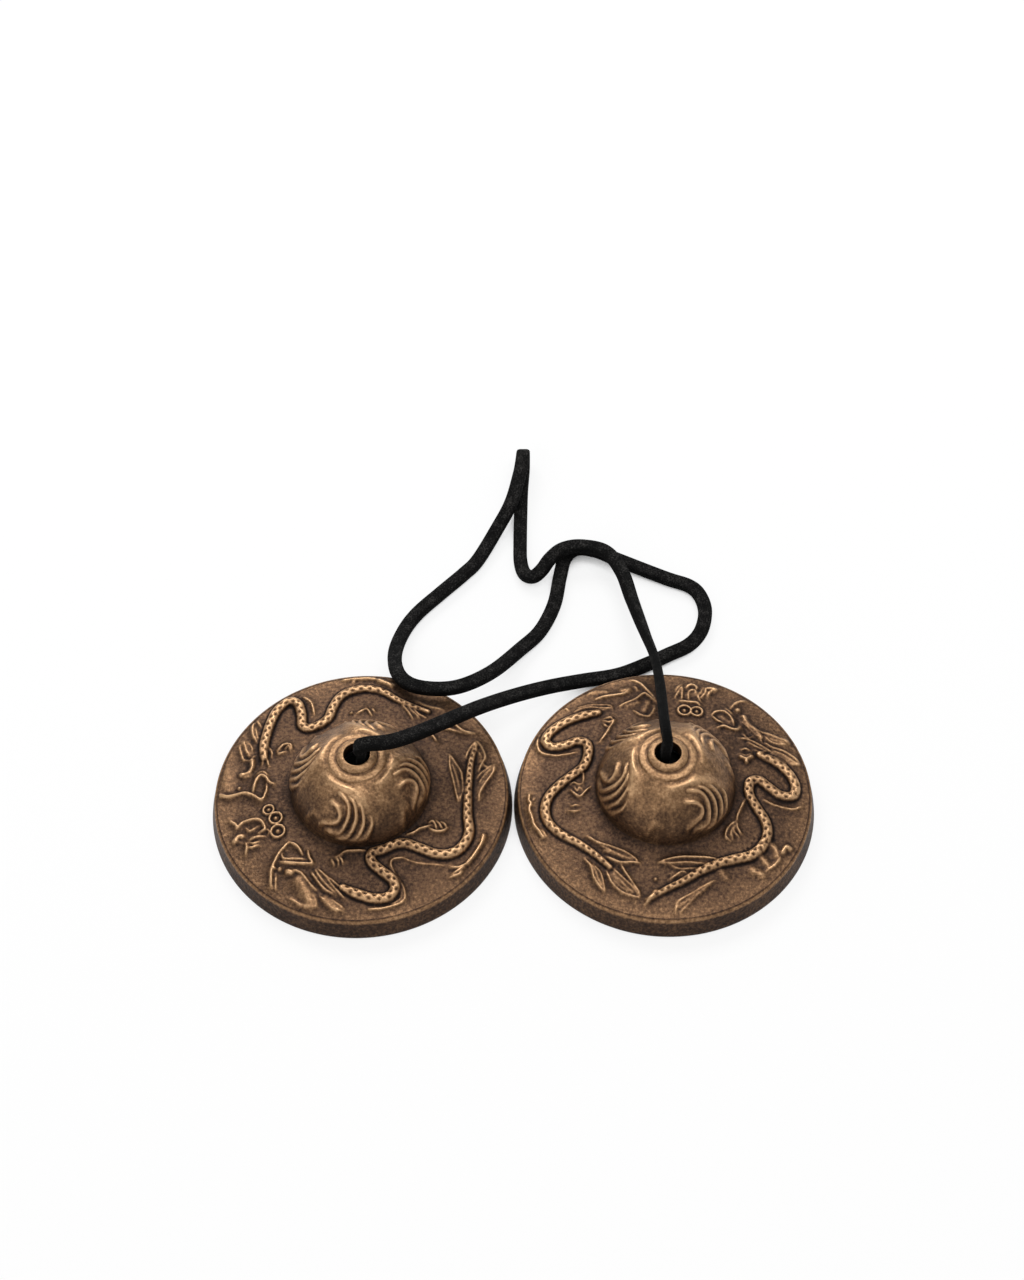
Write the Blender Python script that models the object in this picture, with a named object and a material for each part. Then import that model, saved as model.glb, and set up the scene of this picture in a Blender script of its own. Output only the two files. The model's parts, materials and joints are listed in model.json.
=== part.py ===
"""A tingsha: two small bronze cymbals, domes up, side by side, joined by one leather lace.

Each cymbal is one casting: a hollow boss with a hole and a collar at its top, a plate that carries
two dragons in relief, and a thick rim. The lace runs down through both holes and ends in a knot
inside each boss, so a cymbal can turn and tilt on its lace but can't come off.

Metres, +Z up. The origin is on the table, halfway between the two cymbals. +Y points away from
the photographed side, where the lace lies in loops.
"""

import math

import bmesh
import bpy
from mathutils import Vector

MM = 0.001

# The pair
DISC_RADIUS = 35.0 * MM
RIM_GAP = 0.36 * MM
CENTRE_X = DISC_RADIUS + RIM_GAP / 2

# Rim: the side wall leans in to a worn edge, then a narrow lip meets the plate
RIM_EDGE_HEIGHT = 5.15 * MM
RIM_EDGE_INSET = 1.0 * MM
LIP_WIDTH = 0.75 * MM
LIP_RISE = 0.4 * MM
FOOT_CHAMFER = 0.25 * MM
FOOT_WIDTH = 6.8 * MM
FOOT_SLOPE = 2.6 * MM
FOOT_COVE_RUN = 0.4
FOOT_COVE_RISE = 0.7

# Plate: it rises gently from the lip to the foot of the boss
PLATE_STEP = 0.12 * MM
PLATE_RISE = 2.45 * MM
PLATE_THICKNESS = 3.0 * MM

# Boss: a dome on the plate, cut off by a turned collar
BOSS_RADIUS = 15.9 * MM
BOSS_RISE = 13.65 * MM
BOSS_WALL = 2.5 * MM
BOSS_FILLET = 0.7 * MM
COLLAR_RADIUS = 6.6 * MM
COLLAR_STEP = 0.45 * MM
COLLAR_RISE = 1.45 * MM
COLLAR_BAND_RADIUS = 4.4 * MM
COLLAR_GROOVE = 0.35 * MM
HOLE_RADIUS = 2.95 * MM
HOLE_EDGE = 0.25 * MM
CROWN_THICKNESS = 3.0 * MM
CROWN_SHOULDER = 1.2 * MM

# Cloud scrolls on the boss: each is one smooth lobe that ends in a fan of curved ridges
SCROLLS = 4
SCROLL_TWIST = math.radians(62)
SCROLL_RELIEF = 0.85 * MM
SCROLL_RIDGES = 3
SCROLL_RIDGE_DEPTH = 0.65 * MM
SCROLL_LOBE_SHARE = 0.42
SCROLL_LOBE_FULLNESS = 0.7
SCROLL_START = 0.08
SCROLL_END_FULLNESS = 0.6
LEFT_SCROLL_TURN = math.radians(12)
RIGHT_SCROLL_TURN = math.radians(58)

# Dragons: round bodies half sunk in the plate
DRAGON_RADIUS = 1.25 * MM
DRAGON_SINK = 0.5 * MM
DRAGON_TAPER_LENGTH = 22.0 * MM
DRAGON_TIP_SHARE = 0.45
DRAGON_STEP = 2.2 * MM
DRAGON_TURN = math.radians(30)

# Lace
LACE_DIAMETER = 3.0 * MM
LACE_STEP = 7.5 * MM
LACE_TURN = math.radians(26)
FACE_GAP = 0.3 * MM
LACE_FACE_RISE = 0.7 * MM
KNOT_RADIUS = 4.9 * MM
KNOT_HEIGHT = 7.6 * MM
KNOT_FULLNESS = 0.8
TAIL_LENGTH = 5.0 * MM
TAIL_RADIUS = 1.3 * MM

# Facets
TOP_SEGMENTS = 96
UNDER_SEGMENTS = TOP_SEGMENTS // 2
DOME_STEPS = 9
HOLLOW_STEPS = 6
KNOT_STEPS = 8
KNOT_SEGMENTS = 16
CURVE_STEPS = 16
SHARP_EDGE = math.radians(35)

# Heights and radii that follow from the sizes above
EDGE_RADIUS = DISC_RADIUS - RIM_EDGE_INSET
PLATE_RADIUS = EDGE_RADIUS - LIP_WIDTH
PLATE_EDGE_TOP = RIM_EDGE_HEIGHT + LIP_RISE - PLATE_STEP
BOSS_BASE_TOP = PLATE_EDGE_TOP + PLATE_RISE


def plate_top(radius):
    """Height of the bare plate at a radius from the cymbal's axis."""
    share = (PLATE_RADIUS - radius) / (PLATE_RADIUS - BOSS_RADIUS)
    return PLATE_EDGE_TOP + PLATE_RISE * share


def dome_top(radius):
    """Height of the bare dome at a radius from the cymbal's axis."""
    return BOSS_BASE_TOP + BOSS_RISE * math.sqrt(max(0.0, 1 - (radius / BOSS_RADIUS) ** 2))


COLLAR_BASE_TOP = dome_top(COLLAR_RADIUS)
CROWN_TOP = COLLAR_BASE_TOP + COLLAR_STEP + COLLAR_RISE
CROWN_UNDER = CROWN_TOP - CROWN_THICKNESS
HOLLOW_RADIUS = BOSS_RADIUS - BOSS_WALL
HOLLOW_BASE = plate_top(HOLLOW_RADIUS) - PLATE_THICKNESS
HOLLOW_CROWN_RADIUS = COLLAR_RADIUS - CROWN_SHOULDER
LACE_FACE_HEIGHT = CROWN_TOP + LACE_FACE_RISE

# The lace's free stretch, from the left hole to the right one, in millimetres. It bends out of the
# left hole, drops behind the right cymbal, loops back over the left rim, folds back on itself at
# the far end, kinks, and rises over its own first stretch to the right hole.
LACE_ROUTE = [
    (-34.6, 0.0, 25.0),
    (-32.3, -0.1, 26.3),
    (-27.3, 1.3, 25.2),
    (-21.7, 5.5, 22.3),
    (-13.8, 13.0, 17.4),
    (-7.0, 19.6, 12.8),
    (0.8, 25.9, 8.2),
    (8.7, 30.7, 4.8),
    (16.7, 34.0, 2.6),
    (25.5, 36.4, 1.6),
    (32.9, 39.7, 1.6),
    (37.9, 42.4, 1.6),
    (43.2, 45.4, 1.6),
    (46.4, 49.7, 1.6),
    (47.7, 55.6, 1.6),
    (46.7, 60.6, 1.6),
    (44.1, 63.8, 1.6),
    (38.2, 66.4, 1.6),
    (26.6, 72.3, 1.6),
    (21.1, 75.2, 1.6),
    (16.2, 75.9, 1.6),
    (13.2, 73.0, 1.6),
    (11.8, 66.9, 1.6),
    (10.2, 58.0, 1.6),
    (6.7, 49.9, 1.6),
    (1.9, 44.0, 2.2),
    (-4.8, 35.3, 5.0),
    (-11.7, 29.2, 7.8),
    (-17.8, 27.4, 8.8),
    (-24.1, 28.5, 8.9),
    (-27.6, 32.6, 8.2),
    (-28.7, 40.6, 5.0),
    (-27.2, 49.2, 2.0),
    (-23.9, 55.4, 1.6),
    (-18.0, 62.0, 1.6),
    (-12.4, 68.0, 1.6),
    (-8.9, 72.5, 1.6),
    (-4.1, 81.8, 2.6),
    (-0.5, 88.6, 4.8),
    (1.6, 97.3, 5.3),
    (2.3, 101.8, 5.4),
    (2.6, 104.9, 5.2),
    (2.7, 106.7, 3.5),
    (2.7, 104.9, 1.8),
    (2.6, 102.0, 1.6),
    (2.2, 96.0, 1.6),
    (2.0, 89.6, 1.6),
    (1.8, 78.0, 1.6),
    (1.9, 71.8, 1.7),
    (2.9, 67.7, 2.0),
    (5.0, 66.3, 2.5),
    (7.2, 67.8, 3.3),
    (9.4, 70.6, 4.4),
    (12.6, 72.9, 5.4),
    (17.4, 73.6, 5.6),
    (23.4, 71.7, 5.6),
    (27.2, 65.2, 5.6),
    (29.4, 55.7, 6.4),
    (31.8, 44.2, 9.0),
    (33.9, 32.8, 13.0),
    (34.5, 19.9, 18.4),
    (34.5, 8.5, 23.8),
    (34.7, 3.2, 25.9),
    (35.0, 0.6, 25.2),
]

# Dragon bodies, neck to tail, in millimetres from the cymbal's axis
LEFT_DRAGONS = [
    [(-23, 9), (-23.3, 13), (-22.8, 17), (-22, 20.5), (-20.8, 23.6), (-18.3, 26), (-16.1, 25),
     (-15, 21.5), (-14.6, 18.3), (-13, 17.2), (-10.4, 18.2), (-8.5, 20.2), (-7.7, 23.2),
     (-6.2, 26.6), (-3.6, 28.6), (0, 29.4), (4, 28.4), (7.5, 25.9), (11, 24), (15, 22.3), (21, 19)],
    [(-3, -25.8), (0, -27.2), (4, -28.4), (7.2, -28), (8.7, -26), (8, -23.8), (5.6, -21.8),
     (3.3, -19.6), (3.3, -17.6), (6, -16.5), (8.2, -15.3), (10.8, -14.9), (14, -15.9), (18, -17.2),
     (21.6, -16.7), (24.1, -14.3), (25.2, -11), (24.8, -7), (24.8, -2), (25, 3), (25.4, 8), (26.5, 13)],
]
RIGHT_DRAGONS = [
    [(22.5, 9.3), (26, 7.5), (29, 4.5), (30.3, 1), (29.4, -1.6), (26.6, -1.7), (24, 0.3), (21.8, 2),
     (19.7, 1.2), (19.3, -2), (20.8, -5.5), (22.6, -9), (22.8, -12.4), (21.3, -15.6), (18.6, -17.9),
     (15, -19), (11, -20.3), (7, -22.2), (3, -24.6), (-1, -26.6), (-4.6, -28.7)],
    [(-10, 22.5), (-14, 21.8), (-18.5, 21), (-22.5, 19.5), (-26, 17), (-27.5, 14.2), (-26, 12.2),
     (-23, 12.4), (-20, 13.4), (-17.9, 12.4), (-17.6, 9.6), (-18.7, 6), (-21.2, 3.8), (-24.6, 1),
     (-27, -2), (-27.8, -5.5), (-26.8, -9), (-24, -12), (-20, -14.7), (-16.5, -17.6), (-13.3, -20.8),
     (-10.5, -24), (-8, -27)],
]


def clear_scene():
    for old in list(bpy.data.objects):
        bpy.data.objects.remove(old, do_unlink=True)


def material(name, colour, roughness, metallic):
    made = bpy.data.materials.new(name)
    made.use_nodes = True
    shader = made.node_tree.nodes["Principled BSDF"]
    shader.inputs["Base Color"].default_value = (*colour, 1.0)
    shader.inputs["Roughness"].default_value = roughness
    shader.inputs["Metallic"].default_value = metallic
    made.diffuse_color = (*colour, 1.0)
    return made


def add_object(name, data, parent=None):
    made = bpy.data.objects.new(name, data)
    bpy.context.scene.collection.objects.link(made)
    made.parent = parent
    return made


def add_empty(name, x):
    """An empty on a cymbal's axis, which is the axis that the cymbal turns on."""
    made = add_object(name, None)
    made.location = (x, 0, 0)
    return made


def smooth_curve(points, steps):
    """A Catmull-Rom curve through points, with that many steps between two of them."""
    ends = [2 * points[0] - points[1], *points, 2 * points[-1] - points[-2]]
    curve = []
    for a, b, c, d in zip(ends, ends[1:], ends[2:], ends[3:]):
        for step in range(steps):
            t = step / steps
            square = 2 * a - 5 * b + 4 * c - d
            cube = 3 * b - a - 3 * c + d
            curve.append((2 * b + (c - a) * t + square * t**2 + cube * t**3) / 2)
    curve.append(points[-1])
    return curve


def thinned(curve, longest, widest_turn):
    """Points of a fine curve, at most longest apart, and closer where it turns by widest_turn."""
    kept = [curve[0]]
    run = 0.0
    turn = 0.0
    for before, here, after in zip(curve, curve[1:], curve[2:]):
        run += (here - before).length
        turn += (here - before).angle(after - here, 0.0)
        if run >= longest or turn >= widest_turn:
            kept.append(here)
            run = 0.0
            turn = 0.0
    kept.append(curve[-1])
    return kept


def tube(name, points, radius, parent=None, resolution=2, widths=None):
    """A curve object along points, with a round bevel and closed ends."""
    curve = bpy.data.curves.new(name, "CURVE")
    curve.dimensions = "3D"
    curve.bevel_depth = radius
    curve.bevel_resolution = resolution
    curve.use_fill_caps = True
    spline = curve.splines.new("POLY")
    spline.points.add(len(points) - 1)
    for place, point in enumerate(points):
        spline.points[place].co = (*point, 1.0)
        spline.points[place].radius = widths[place] if widths else 1.0
    return add_object(name, curve, parent)


def scroll_height(angle, share):
    """Relief of the boss's cloud scrolls. share runs from 0 at the collar to 1 at the foot."""
    pitch = math.tau / SCROLLS
    along = ((angle + SCROLL_TWIST * share) / pitch) % 1.0
    reached = SCROLL_START + (1 - SCROLL_START) * share
    fade = abs(math.sin(math.pi * reached)) ** SCROLL_END_FULLNESS
    if along < SCROLL_LOBE_SHARE:
        swell = math.sin(0.5 * math.pi * along / SCROLL_LOBE_SHARE) ** SCROLL_LOBE_FULLNESS
        return SCROLL_RELIEF * fade * swell
    beyond = (along - SCROLL_LOBE_SHARE) / (1 - SCROLL_LOBE_SHARE)
    groove = 0.5 - 0.5 * math.cos(math.tau * SCROLL_RIDGES * beyond)
    return fade * (1 - beyond / 2) * (SCROLL_RELIEF - SCROLL_RIDGE_DEPTH * groove)


def top_profile():
    """(radius, height, share) from the hole's top edge out to the rim's edge. share is None off the dome."""
    groove_top = CROWN_TOP - COLLAR_RISE / 2 - COLLAR_GROOVE
    ring_top = COLLAR_BASE_TOP + COLLAR_STEP
    points = [
        (HOLE_RADIUS, CROWN_TOP - HOLE_EDGE, None),
        (HOLE_RADIUS + HOLE_EDGE, CROWN_TOP, None),
        (COLLAR_BAND_RADIUS, CROWN_TOP - COLLAR_RISE / 3, None),
        (COLLAR_BAND_RADIUS + COLLAR_GROOVE, groove_top, None),
        (COLLAR_RADIUS - 2 * COLLAR_GROOVE, ring_top - COLLAR_GROOVE / 2, None),
        (COLLAR_RADIUS - COLLAR_GROOVE / 2, ring_top, None),
    ]
    first = math.asin(COLLAR_RADIUS / BOSS_RADIUS)
    last = math.asin(1 - BOSS_FILLET / 2 / BOSS_RADIUS)
    for step in range(DOME_STEPS + 1):
        share = step / DOME_STEPS
        radius = BOSS_RADIUS * math.sin(first + (last - first) * share)
        points.append((radius, dome_top(radius), share))
    foot = BOSS_RADIUS + BOSS_FILLET
    points.append((foot, plate_top(foot), None))
    points.append((PLATE_RADIUS, PLATE_EDGE_TOP, None))
    points.append((PLATE_RADIUS + PLATE_STEP, PLATE_EDGE_TOP + PLATE_STEP, None))
    points.append((EDGE_RADIUS, RIM_EDGE_HEIGHT, None))
    return points


def under_profile():
    """(radius, height) from the foot of the side wall inwards to the hole's lower edge."""
    foot_inner = DISC_RADIUS - FOOT_WIDTH
    recess = foot_inner - FOOT_SLOPE
    ceiling = plate_top(recess) - PLATE_THICKNESS
    points = [
        (DISC_RADIUS, FOOT_CHAMFER),
        (DISC_RADIUS - FOOT_CHAMFER, 0.0),
        (foot_inner, 0.0),
        (foot_inner - FOOT_SLOPE * FOOT_COVE_RUN, ceiling * FOOT_COVE_RISE),
        (recess, ceiling),
        (HOLLOW_RADIUS + BOSS_FILLET, plate_top(HOLLOW_RADIUS + BOSS_FILLET) - PLATE_THICKNESS),
    ]
    rise = CROWN_UNDER - HOLLOW_BASE
    top_share = math.sqrt(1 - (HOLLOW_CROWN_RADIUS / HOLLOW_RADIUS) ** 2)
    last = math.asin(HOLLOW_CROWN_RADIUS / HOLLOW_RADIUS)
    for step in range(HOLLOW_STEPS + 1):
        angle = math.pi / 2 - (math.pi / 2 - last) * step / HOLLOW_STEPS
        radius = HOLLOW_RADIUS * math.sin(angle)
        lift = BOSS_FILLET * (1 - step / HOLLOW_STEPS)
        points.append((radius, HOLLOW_BASE + lift + (rise - lift) * math.cos(angle) / top_share))
    points.append((HOLE_RADIUS, CROWN_UNDER))
    return points


def ring(mesh, radius, segments, height_at):
    """One ring of vertices. height_at gives (extra radius, height) at an angle."""
    made = []
    for place in range(segments):
        angle = math.tau * place / segments
        out, height = height_at(angle)
        reach = radius + out
        made.append(mesh.verts.new((reach * math.cos(angle), reach * math.sin(angle), height)))
    return made


def bridge(mesh, inner, outer):
    """Faces between two rings of vertices. The rings have the same count, or inner has twice as many."""
    ratio = len(inner) // len(outer)
    for place in range(len(outer)):
        here = outer[place]
        ahead = outer[(place + 1) % len(outer)]
        near = [inner[(place * ratio + extra) % len(inner)] for extra in range(ratio + 1)]
        mesh.faces.new([*near, ahead, here])


def turned_casting(name, scroll_turn):
    """The cymbal's casting, turned about its own axis, with the scrolls raised on its boss."""
    mesh = bmesh.new()
    rings = []
    for radius, height, share in top_profile():

        def raised(angle, height=height, share=share, radius=radius):
            if share is None:
                return 0.0, height
            relief = scroll_height(angle - scroll_turn, share)
            slope = math.asin(min(1.0, radius / BOSS_RADIUS))
            return relief * math.sin(slope), height + relief * math.cos(slope)

        rings.append(ring(mesh, radius, TOP_SEGMENTS, raised))
    for radius, height in under_profile():
        rings.append(ring(mesh, radius, UNDER_SEGMENTS, lambda angle, height=height: (0.0, height)))
    for inner, outer in zip(rings, rings[1:]):
        bridge(mesh, inner, outer)
    bridge(mesh, rings[0], rings[-1])
    bmesh.ops.triangulate(mesh, faces=[face for face in mesh.faces if len(face.verts) > 4])
    bmesh.ops.recalc_face_normals(mesh, faces=mesh.faces)
    data = bpy.data.meshes.new(name)
    mesh.to_mesh(data)
    mesh.free()
    data.shade_smooth()
    data.set_sharp_from_angle(angle=SHARP_EDGE)
    return data


def dragon_body(name, points, parent):
    """A dragon's long body as a round bar, half sunk in the plate and thinner towards the tail."""
    fine = smooth_curve([Vector((x, y)) * MM for x, y in points], CURVE_STEPS)
    kept = thinned(fine, DRAGON_STEP, DRAGON_TURN)
    run = [0.0]
    for before, here in zip(kept, kept[1:]):
        run.append(run[-1] + (here - before).length)
    widths = []
    places = []
    for point, reached in zip(kept, run):
        left = min(1.0, (run[-1] - reached) / DRAGON_TAPER_LENGTH)
        widths.append(DRAGON_TIP_SHARE + (1 - DRAGON_TIP_SHARE) * left)
        places.append(Vector((point.x, point.y, plate_top(point.length) - DRAGON_SINK * widths[-1])))
    bar = tube(name, places, DRAGON_RADIUS, widths=widths)
    data = bpy.data.meshes.new_from_object(bar)
    bpy.data.objects.remove(bar)
    cutter = add_object(name, data, parent)
    cutter.hide_render = True
    cutter.display_type = "WIRE"
    return cutter


def cymbal(name, side, scroll_turn, dragons, bronze):
    axis = add_empty(f"{name}_axis", side * CENTRE_X)
    made = add_object(name, turned_casting(name, scroll_turn), axis)
    made.data.materials.append(bronze)
    for place, points in enumerate(dragons):
        union = made.modifiers.new(f"dragon_{place + 1}", "BOOLEAN")
        union.operation = "UNION"
        union.object = dragon_body(f"{name}_dragon_{place + 1}", points, axis)
    return axis


def knot(name, parent, leather):
    """The lace's end: a stub up through the hole, the pulled-tight knot under the crown, and its tail."""
    top = CROWN_UNDER - FACE_GAP
    stub = LACE_DIAMETER / 2
    middle = top - KNOT_HEIGHT / 2
    profile = [(0.0, LACE_FACE_HEIGHT - FACE_GAP), (stub, LACE_FACE_HEIGHT - FACE_GAP), (stub, top)]
    for step in range(1, KNOT_STEPS):
        angle = math.pi * step / KNOT_STEPS
        reach = KNOT_RADIUS * math.sin(angle) ** KNOT_FULLNESS
        profile.append((reach, middle + KNOT_HEIGHT / 2 * math.cos(angle)))
    bottom = top - KNOT_HEIGHT
    profile.append((TAIL_RADIUS, bottom))
    profile.append((TAIL_RADIUS, bottom - TAIL_LENGTH))
    profile.append((0.0, bottom - TAIL_LENGTH))
    mesh = bmesh.new()
    line = [mesh.verts.new((radius, 0, height)) for radius, height in profile]
    edges = [mesh.edges.new(pair) for pair in zip(line, line[1:])]
    bmesh.ops.spin(
        mesh,
        geom=line + edges,
        axis=(0, 0, 1),
        cent=(0, 0, 0),
        angle=math.tau,
        steps=KNOT_SEGMENTS,
    )
    bmesh.ops.remove_doubles(mesh, verts=mesh.verts, dist=0.001 * MM)
    bmesh.ops.recalc_face_normals(mesh, faces=mesh.faces)
    data = bpy.data.meshes.new(name)
    mesh.to_mesh(data)
    mesh.free()
    data.shade_smooth()
    data.materials.append(leather)
    return add_object(name, data, parent)


def lace(leather):
    """The free stretch, from just above one hole to just above the other."""
    start = Vector((-CENTRE_X, 0, LACE_FACE_HEIGHT))
    end = Vector((CENTRE_X, 0, LACE_FACE_HEIGHT))
    route = [start, *(Vector(point) * MM for point in LACE_ROUTE), end]
    points = thinned(smooth_curve(route, CURVE_STEPS), LACE_STEP, LACE_TURN)
    made = tube("cord", points, LACE_DIAMETER / 2)
    made.data.materials.append(leather)
    return made


def main():
    clear_scene()
    bronze = material("bronze", (0.17, 0.105, 0.055), 0.42, 1.0)
    leather = material("black_leather", (0.012, 0.011, 0.011), 0.85, 0.0)
    left = cymbal("cymbal_left", -1, LEFT_SCROLL_TURN, LEFT_DRAGONS, bronze)
    right = cymbal("cymbal_right", 1, RIGHT_SCROLL_TURN, RIGHT_DRAGONS, bronze)
    knot("knot_left", left, leather)
    knot("knot_right", right, leather)
    lace(leather)


main()
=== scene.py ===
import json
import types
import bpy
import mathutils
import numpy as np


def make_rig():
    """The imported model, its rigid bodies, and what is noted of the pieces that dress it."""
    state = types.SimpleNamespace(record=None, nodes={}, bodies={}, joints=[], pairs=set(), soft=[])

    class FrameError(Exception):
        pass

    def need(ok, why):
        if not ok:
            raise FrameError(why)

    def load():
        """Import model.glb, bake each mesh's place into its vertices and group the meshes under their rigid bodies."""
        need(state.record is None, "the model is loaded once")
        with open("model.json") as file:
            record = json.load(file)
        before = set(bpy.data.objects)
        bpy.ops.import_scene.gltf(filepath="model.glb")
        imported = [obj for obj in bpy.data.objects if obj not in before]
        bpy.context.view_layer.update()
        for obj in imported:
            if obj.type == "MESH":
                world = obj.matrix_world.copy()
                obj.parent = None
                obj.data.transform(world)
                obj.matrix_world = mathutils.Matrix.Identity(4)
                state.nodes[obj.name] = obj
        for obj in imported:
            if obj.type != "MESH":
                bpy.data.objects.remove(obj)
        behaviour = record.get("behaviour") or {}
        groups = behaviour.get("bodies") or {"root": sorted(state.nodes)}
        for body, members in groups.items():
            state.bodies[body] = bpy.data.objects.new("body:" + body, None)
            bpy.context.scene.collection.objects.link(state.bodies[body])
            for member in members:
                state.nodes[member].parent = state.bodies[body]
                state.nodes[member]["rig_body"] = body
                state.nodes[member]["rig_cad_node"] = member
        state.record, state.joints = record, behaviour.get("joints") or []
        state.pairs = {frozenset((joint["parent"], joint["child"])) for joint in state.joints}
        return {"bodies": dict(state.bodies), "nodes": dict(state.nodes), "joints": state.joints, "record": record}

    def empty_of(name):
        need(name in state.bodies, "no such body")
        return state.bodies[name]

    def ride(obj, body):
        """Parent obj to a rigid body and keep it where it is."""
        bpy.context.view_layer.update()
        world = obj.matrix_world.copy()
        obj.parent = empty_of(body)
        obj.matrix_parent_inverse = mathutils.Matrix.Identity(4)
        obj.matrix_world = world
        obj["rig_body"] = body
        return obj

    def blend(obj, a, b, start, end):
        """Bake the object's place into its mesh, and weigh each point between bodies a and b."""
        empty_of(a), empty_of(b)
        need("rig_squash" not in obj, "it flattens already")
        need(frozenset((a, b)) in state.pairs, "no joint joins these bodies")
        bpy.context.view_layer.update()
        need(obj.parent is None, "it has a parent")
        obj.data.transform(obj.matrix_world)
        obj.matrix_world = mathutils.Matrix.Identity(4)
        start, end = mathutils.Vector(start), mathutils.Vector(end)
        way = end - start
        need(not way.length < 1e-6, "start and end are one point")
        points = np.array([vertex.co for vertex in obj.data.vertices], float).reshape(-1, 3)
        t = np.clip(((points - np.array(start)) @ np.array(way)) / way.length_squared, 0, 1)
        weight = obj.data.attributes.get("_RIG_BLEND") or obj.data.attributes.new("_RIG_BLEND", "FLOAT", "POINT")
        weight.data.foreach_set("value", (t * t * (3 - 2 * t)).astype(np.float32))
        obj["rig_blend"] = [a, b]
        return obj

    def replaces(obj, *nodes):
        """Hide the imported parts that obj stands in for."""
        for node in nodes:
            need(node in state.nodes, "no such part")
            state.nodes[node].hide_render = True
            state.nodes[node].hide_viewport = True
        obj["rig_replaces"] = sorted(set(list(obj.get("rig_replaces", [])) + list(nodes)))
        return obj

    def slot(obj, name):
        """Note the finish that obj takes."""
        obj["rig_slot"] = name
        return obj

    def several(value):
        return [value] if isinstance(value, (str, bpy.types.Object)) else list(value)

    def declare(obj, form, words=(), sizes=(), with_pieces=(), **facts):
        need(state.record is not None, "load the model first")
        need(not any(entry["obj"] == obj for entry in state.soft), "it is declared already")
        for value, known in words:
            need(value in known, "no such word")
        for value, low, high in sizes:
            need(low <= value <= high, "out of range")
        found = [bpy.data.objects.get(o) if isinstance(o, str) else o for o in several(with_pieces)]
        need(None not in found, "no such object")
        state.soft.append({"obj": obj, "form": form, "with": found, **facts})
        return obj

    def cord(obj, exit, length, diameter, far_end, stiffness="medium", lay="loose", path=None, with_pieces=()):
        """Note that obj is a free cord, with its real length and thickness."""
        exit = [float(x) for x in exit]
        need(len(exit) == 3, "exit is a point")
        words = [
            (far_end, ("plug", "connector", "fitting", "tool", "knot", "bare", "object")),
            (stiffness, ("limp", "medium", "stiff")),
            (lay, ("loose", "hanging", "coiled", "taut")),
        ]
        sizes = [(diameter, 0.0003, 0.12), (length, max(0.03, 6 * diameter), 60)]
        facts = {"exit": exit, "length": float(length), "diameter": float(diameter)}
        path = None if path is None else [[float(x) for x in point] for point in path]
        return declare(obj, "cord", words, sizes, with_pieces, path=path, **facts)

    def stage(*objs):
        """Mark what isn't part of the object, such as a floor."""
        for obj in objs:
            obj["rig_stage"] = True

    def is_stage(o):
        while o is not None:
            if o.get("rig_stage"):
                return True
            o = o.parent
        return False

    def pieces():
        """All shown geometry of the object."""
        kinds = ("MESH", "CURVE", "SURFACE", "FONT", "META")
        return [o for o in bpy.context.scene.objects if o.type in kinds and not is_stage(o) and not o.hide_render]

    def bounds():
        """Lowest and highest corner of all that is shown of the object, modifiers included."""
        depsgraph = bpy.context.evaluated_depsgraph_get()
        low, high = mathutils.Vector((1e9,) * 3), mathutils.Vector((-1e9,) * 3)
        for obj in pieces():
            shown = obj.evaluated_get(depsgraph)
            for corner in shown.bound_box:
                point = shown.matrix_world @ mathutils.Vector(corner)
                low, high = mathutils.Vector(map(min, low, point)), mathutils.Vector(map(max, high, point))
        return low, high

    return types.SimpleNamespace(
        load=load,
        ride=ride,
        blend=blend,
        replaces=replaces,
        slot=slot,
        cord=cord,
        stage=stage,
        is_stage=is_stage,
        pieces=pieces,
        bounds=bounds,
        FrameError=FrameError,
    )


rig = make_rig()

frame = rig.load()

import json
import math
import random

import bmesh
import bpy
import numpy as np
from mathutils import Matrix, Vector

cad_box = [list(corner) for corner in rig.bounds()]

# Metres in a millimetre. Tables and sizes are in millimetres, unless they say metres
MM = 0.001
CENTRE_X = 35.18
PLATE_RADIUS = 33.25
BOSS_RADIUS = 15.9
COLLAR_RADIUS = 6.6
HOLE_RADIUS = 2.95
PLATE_EDGE_TOP = 5.43
BOSS_BASE_TOP = 7.88
BOSS_RISE = 13.65
COLLAR_TOP = 22.2

# The hollow under the boss: its half width, the height it springs from, its rise and its first angle
HOLLOW_RADIUS = 13.4
HOLLOW_BASE = 5.9
HOLLOW_RISE = 14.5
HOLLOW_START = 24
HOLLOW_STEPS = 11

# The radii where the plate and the boss end. The boss's foot goes a little into the plate
PLATE_INNER = 16.05
PLATE_OUTER = 33.28
BOSS_UPPER = 6.55
FOOT_RADIUS = 16.06
FOOT_END = 16.12

# Fineness of the turned meshes: rows from the axis outwards, steps round it
PLATE_ROWS = 104
PLATE_STEPS = 900
BOSS_ROWS = 96
BOSS_STEPS = 600
RIM_STEPS = 360

# Dents in the carving. Scales are dimples in two staggered rows along each body
SCALE_RADIUS = 0.5
SCALE_SPREAD = 0.48
SCALE_STEP = 1.1
TAIL_LENGTH = 12
TAIL_SCALE_SPREAD = 0.12
TAIL_SCALE_STEP = 1.5
PIT_RADIUS = 0.3
CAST_PITS = 30
DENT_DEPTH = 0.95
DENT_WIDTH = 0.85

# A body is a round cord, which swells from its neck and thins over its long tail
BODY_THINNEST = 0.6
BODY_SWELL = 0.52
NECK_TAPER = 6
TAIL_TAPER = 22

# Pearls and beads, and how much the lower of two forms adds where they overlap
PEARL_RING_HEIGHT = 0.75
PEARL_RING_WIDTH = 0.32
PEARL_HEART_HEIGHT = 0.7
PEARL_HEART_WIDTH = 0.5
BEAD_HEIGHT = 0.9
OVERLAP_SHARE = 0.35

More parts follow.
